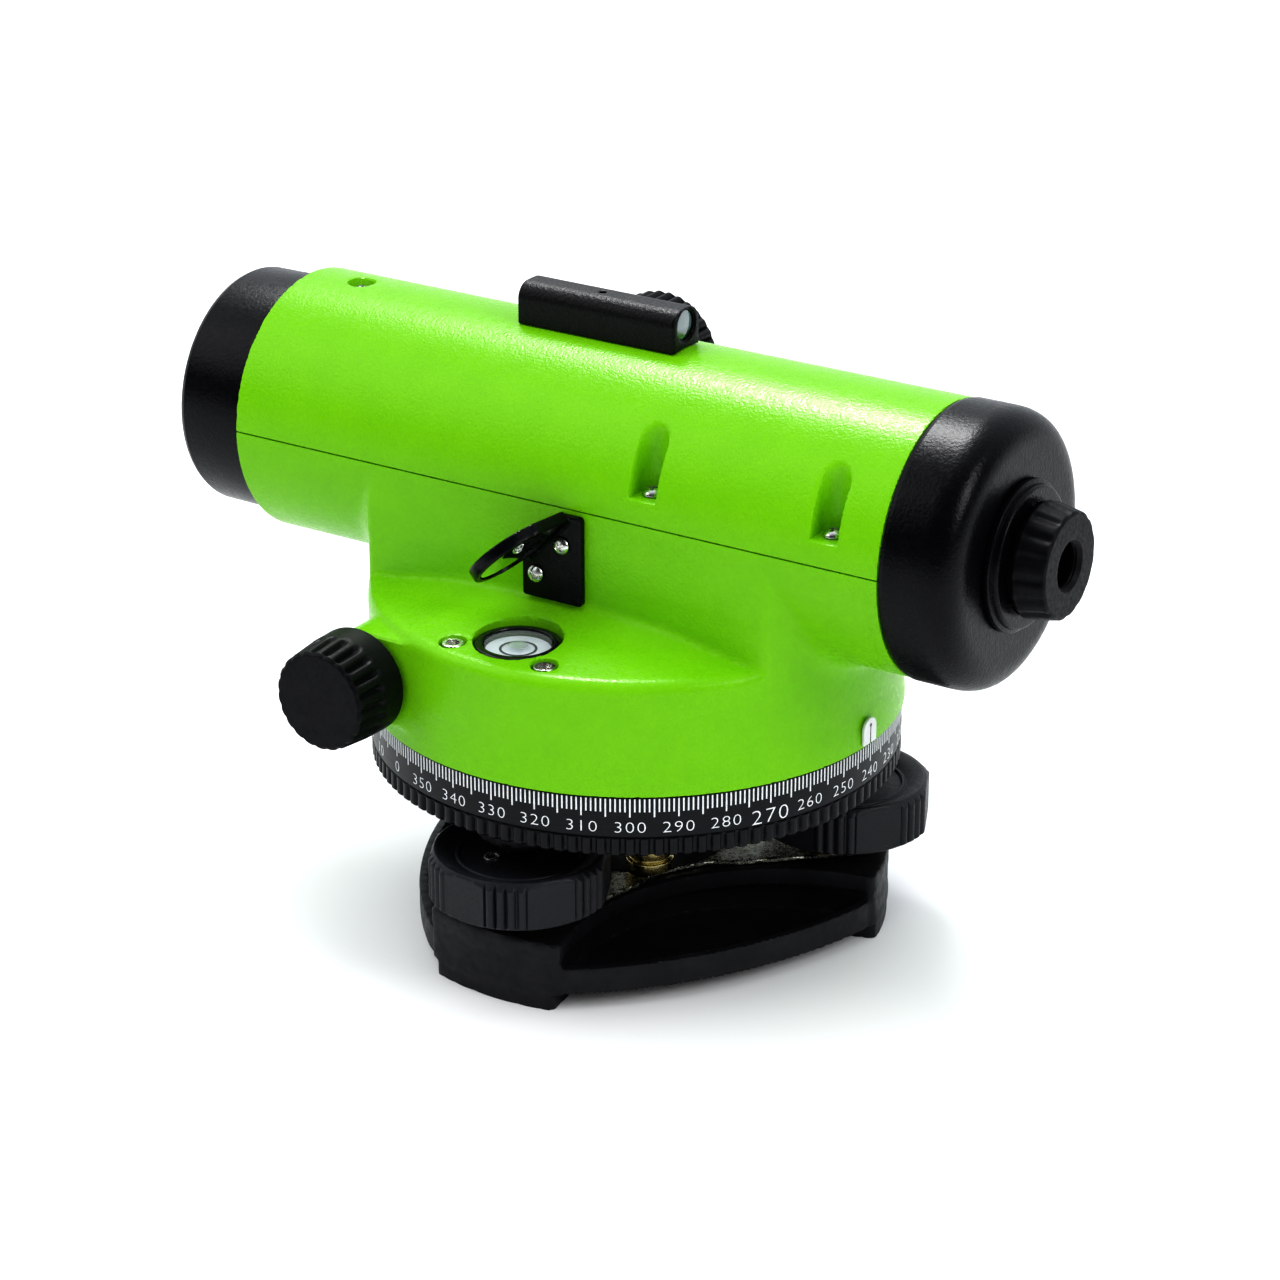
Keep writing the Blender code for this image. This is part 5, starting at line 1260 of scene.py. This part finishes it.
def make_mirror():
    """The bracket: a plate on the pedestal, folded along a slope into the mirror's frame."""
    low, high = box_mm("mirror_bracket")
    frame_matrix = mirror_frame()
    plate_low = np.array((-8.4, -31.1, 82.6))
    plate_high = np.array((6.3, -29.6, 102.4))
    frame_r = 9.4
    fold = -31.1 - MIRROR_CENTRE[1]

    def bracket_field(p):
        q = local_points(p, frame_matrix)
        across = length_of(q[:, 0], q[:, 1])
        middle, half = (plate_low + plate_high) / 2, (plate_high - plate_low) / 2
        corner = 0.9
        a = np.maximum(np.abs(p[:, 0] - middle[0]) - half[0] + corner, 0.0)
        b = np.maximum(np.abs(p[:, 2] - middle[2]) - half[2] + corner, 0.0)
        outline = smooth_max(length_of(a, b) - corner, -q[:, 2] - 2.2, 0.6)
        plate = smooth_max(outline, slab(p[:, 1], plate_low[1], plate_high[1]), 0.3)
        wing = smooth_max(slab(q[:, 0], 0.0, fold + 0.6), slab(q[:, 1], -5.0, 9.7), 0.8)
        sheet = smooth_min(across - frame_r, wing, 1.0)
        sheet = smooth_max(sheet, np.abs(q[:, 2] + 0.9) - 1.3, 0.5)
        both = smooth_min(plate, sheet, 1.2)
        seat = np.maximum(across - MIRROR_R - 0.1, -0.9 - q[:, 2])
        return smooth_max(both, -seat, 0.25)

    cast("mirror_arm", bracket_field, low - 1.0, high + 1.5, 0.4, "body", BLACK,
         ["mirror_bracket"])
    glass_r = MIRROR_R - 0.1
    glass = lathe_mesh(
        rounded([(0, -0.75, 0), (glass_r, -0.75, 0.1), (glass_r, 0.15, 0.15), (0, 0.15, 0)]), 96)
    scale = Matrix.Scale(MM, 4)
    glass.transform(scale @ frame_matrix @ scale.inverted())
    link_mesh("mirror_face", glass, "body", MIRROR, ["mirror_glass"])


# ---- graduated circle
def make_dial():
    """The graduated circle with its knurled lower edge, marks and numbers."""
    r = DIAL_R
    outline = rounded([
        (r - 3.0, DIAL_Z0, 0), (r - 2.4, KNURL_LOW_Z, 0.2), (r - 0.5, KNURL_LOW_Z, 0.2),
        (r, KNURL_LOW_Z + 0.5, 0.1), (r, KNURL_TOP_Z - 0.3, 0.1), (r - 0.5, KNURL_TOP_Z, 0.1),
        (r - 0.02, KNURL_TOP_Z + 0.3, 0.1), (r - 0.02, DIAL_Z1, 0.35), (r - 3.0, DIAL_Z1, 0.2),
        (r - 3.0, DIAL_Z1 - 2.2, 0.2)], closed=True)
    whole = finer(np.vstack([outline, outline[:1]]), 1.1)[:-1]
    grooves = 120

    def knurled(angle, r_now, h):
        wave = np.clip(np.cos(grooves * angle) * 2.2 + 0.2, 0, 1)
        band = np.clip((KNURL_TOP_Z - 0.2 - h) / 0.3, 0, 1)
        return np.where(r_now > r - 1.2, r_now - 0.75 * wave * band, r_now)

    rim = lathe_mesh(whole, 960, radial=knurled, closed=True)
    web_low, web_high = DIAL_Z1 - 2.2, DIAL_Z1 - 0.02
    web = rounded([(15.0, web_low, 0.3), (r - 2.9, web_low, 0), (r - 2.9, web_high, 0),
                   (15.0, web_high, 0.3)], closed=True)
    link_mesh("dial_ring", joined(rim, lathe_mesh(web, 144, closed=True)), "circle",
              DIAL, ["graduated_circle"], sharp=30.0)
    face = r + MARK_PROUD
    half = 0.165 / r
    angles = [DIAL_ZERO - math.radians(degree) for degree in range(360)]
    marks = [
        curved_strip(face, angle - half, angle + half, 48.95 if degree % 5 else 47.8,
                     DIAL_Z1 - 0.3, 1) for degree, angle in enumerate(angles)]
    link_mesh("dial_marks", joined(*marks), "circle", WHITE)
    numbers = []
    for degree in range(0, 360, 10):
        size = 3.3 if degree == 270 else 2.5
        numbers.append(bent_text(str(degree), angles[degree], 46.75 - size, size, face))
    link_mesh("dial_numbers", joined(*numbers), "circle", WHITE)


def bent_text(words, angle, bottom, size, radius):
    """Numbers of a given cap height, laid on an upright cylinder."""
    curve = bpy.data.curves.new("words", "FONT")
    curve.body = words
    curve.size = size * 1.44
    curve.align_x = "CENTER"
    curve.resolution_u = 3
    curve.offset = -0.026 * size
    curve.extrude = 0.03
    curve.space_character = 1.12
    holder = linked("words", curve)
    bpy.context.view_layer.update()
    mesh = bpy.data.meshes.new_from_object(holder)
    bpy.data.objects.remove(holder)
    bpy.data.curves.remove(curve)
    for vertex in mesh.vertices:
        x, y, z = vertex.co
        a = angle + 1.20 * x / radius
        r = radius - 0.03 + z
        vertex.co = Vector((r * math.cos(a), r * math.sin(a), bottom + y)) * MM
    return mesh


# ---- inner pieces
def dress_nodes(material, *nodes):
    """Give carried-over CAD pieces a procedural material."""
    for node in nodes:
        for slot in frame["nodes"][node].material_slots:
            slot.link = "OBJECT"
            slot.material = material


# ---- stage, camera and lights
def make_stage():
    """A plain pale floor."""
    far = 4000
    floor = raw_mesh([(-far, -far, 0), (far, -far, 0), (far, far, 0), (-far, far, 0)],
                     [(0, 1, 2, 3)])
    floor.name = "floor"
    floor.materials.append(FLOOR)
    linked("floor", floor)


def make_world():
    """A studio: a bright sweep behind the object and a dark room on the bubble's side."""
    world = bpy.data.worlds.new("studio")
    world.use_nodes = True
    nodes, links = world.node_tree.nodes, world.node_tree.links
    background = nodes["Background"]
    background.inputs["Color"].default_value = (0.91, 0.955, 1.0, 1.0)
    place = nodes.new("ShaderNodeTexCoord")
    towards = nodes.new("ShaderNodeVectorMath")
    towards.operation = "DOT_PRODUCT"
    towards.inputs[1].default_value = Vector((-0.40, 0.80, 0.45)).normalized()
    links.new(place.outputs["Generated"], towards.inputs[0])
    ramp = nodes.new("ShaderNodeMapRange")
    ramp.interpolation_type = "SMOOTHSTEP"
    for socket, value in (("From Min", -0.1), ("From Max", 0.8), ("To Min", 0.05),
                          ("To Max", 0.95)):
        ramp.inputs[socket].default_value = value
    links.new(towards.outputs["Value"], ramp.inputs["Value"])
    links.new(ramp.outputs["Result"], background.inputs["Strength"])
    bpy.context.scene.world = world


def make_sun(name, towards, strength, spread):
    """A very soft sun from a direction, for light that is even over the whole floor."""
    data = bpy.data.lights.new(name, "SUN")
    data.energy = strength
    data.angle = math.radians(spread)
    lamp = linked(name, data)
    lamp.visible_glossy = False
    lamp.rotation_euler = Vector(towards).to_track_quat("Z", "Y").to_euler()


def make_light(name, place, size, power, only_glints=False):
    """A soft square lamp at a place in millimetres, aimed at the instrument."""
    data = bpy.data.lights.new(name, "AREA")
    data.shape = "RECTANGLE"
    data.size = size * MM
    data.size_y = size * MM
    data.energy = power
    lamp = linked(name, data)
    lamp.visible_diffuse = not only_glints
    lamp.location = Vector(place) * MM
    aim = Vector((0, 0, 70)) * MM - lamp.location
    lamp.rotation_euler = aim.to_track_quat("-Z", "Y").to_euler()


def make_camera():
    """The camera: in front of the bubble's side, towards the eyepiece, and above."""
    data = bpy.data.cameras.new("camera")
    data.lens = 110.9
    data.sensor_width = 36.0
    camera = linked("camera", data)
    azimuth = math.radians(32.83)
    elevation = math.radians(22.94)
    back = Vector((math.sin(azimuth) * math.cos(elevation),
                   -math.cos(azimuth) * math.cos(elevation), math.sin(elevation)))
    right = Vector((math.cos(azimuth), math.sin(azimuth), 0.0))
    turn = Matrix((right, back.cross(right), back)).transposed().to_4x4()
    camera.matrix_world = Matrix.Translation(Vector((0.4289, -0.6634, 0.3972))) @ turn
    bpy.context.scene.camera = camera


make_castings()
make_screws()
make_objective()
make_cap()
make_eyepiece()
make_sight()
make_index()
make_focus_knob()
make_drive_knobs()
make_foot_knobs()
make_base()
make_head()
make_bubble()
make_mirror()
make_dial()
dress_nodes(STEEL, "axis_sleeve", "vertical_spindle", "drive_shaft", "focus_pinion")
dress_nodes(BRASS, "worm_wheel", "focus_cell", "pendulum")
dress_nodes(LENS, "focus_lens", "reticle", "pendulum_prism")
dress_nodes(DARK_METAL, "guide_tube", "reticle_tube", "compensator_frame", "ocular_cell")

make_stage()
make_world()
make_sun("overhead", (-0.12, -0.20, 1.0), 1.15, 60)
make_sun("front", (0.35, -1.0, 0.55), 0.55, 40)
make_light("key", (-470, 420, 1160), 280, 2.6)
make_light("glint", (-470, 420, 1160), 280, 12.0, only_glints=True)
make_light("left", (-600, -500, 700), 600, 1.7)
make_light("right", (800, -100, 600), 400, 2.8)
make_camera()
bpy.context.scene.view_settings.view_transform = "Standard"
bpy.context.scene.view_settings.look = "High Contrast"
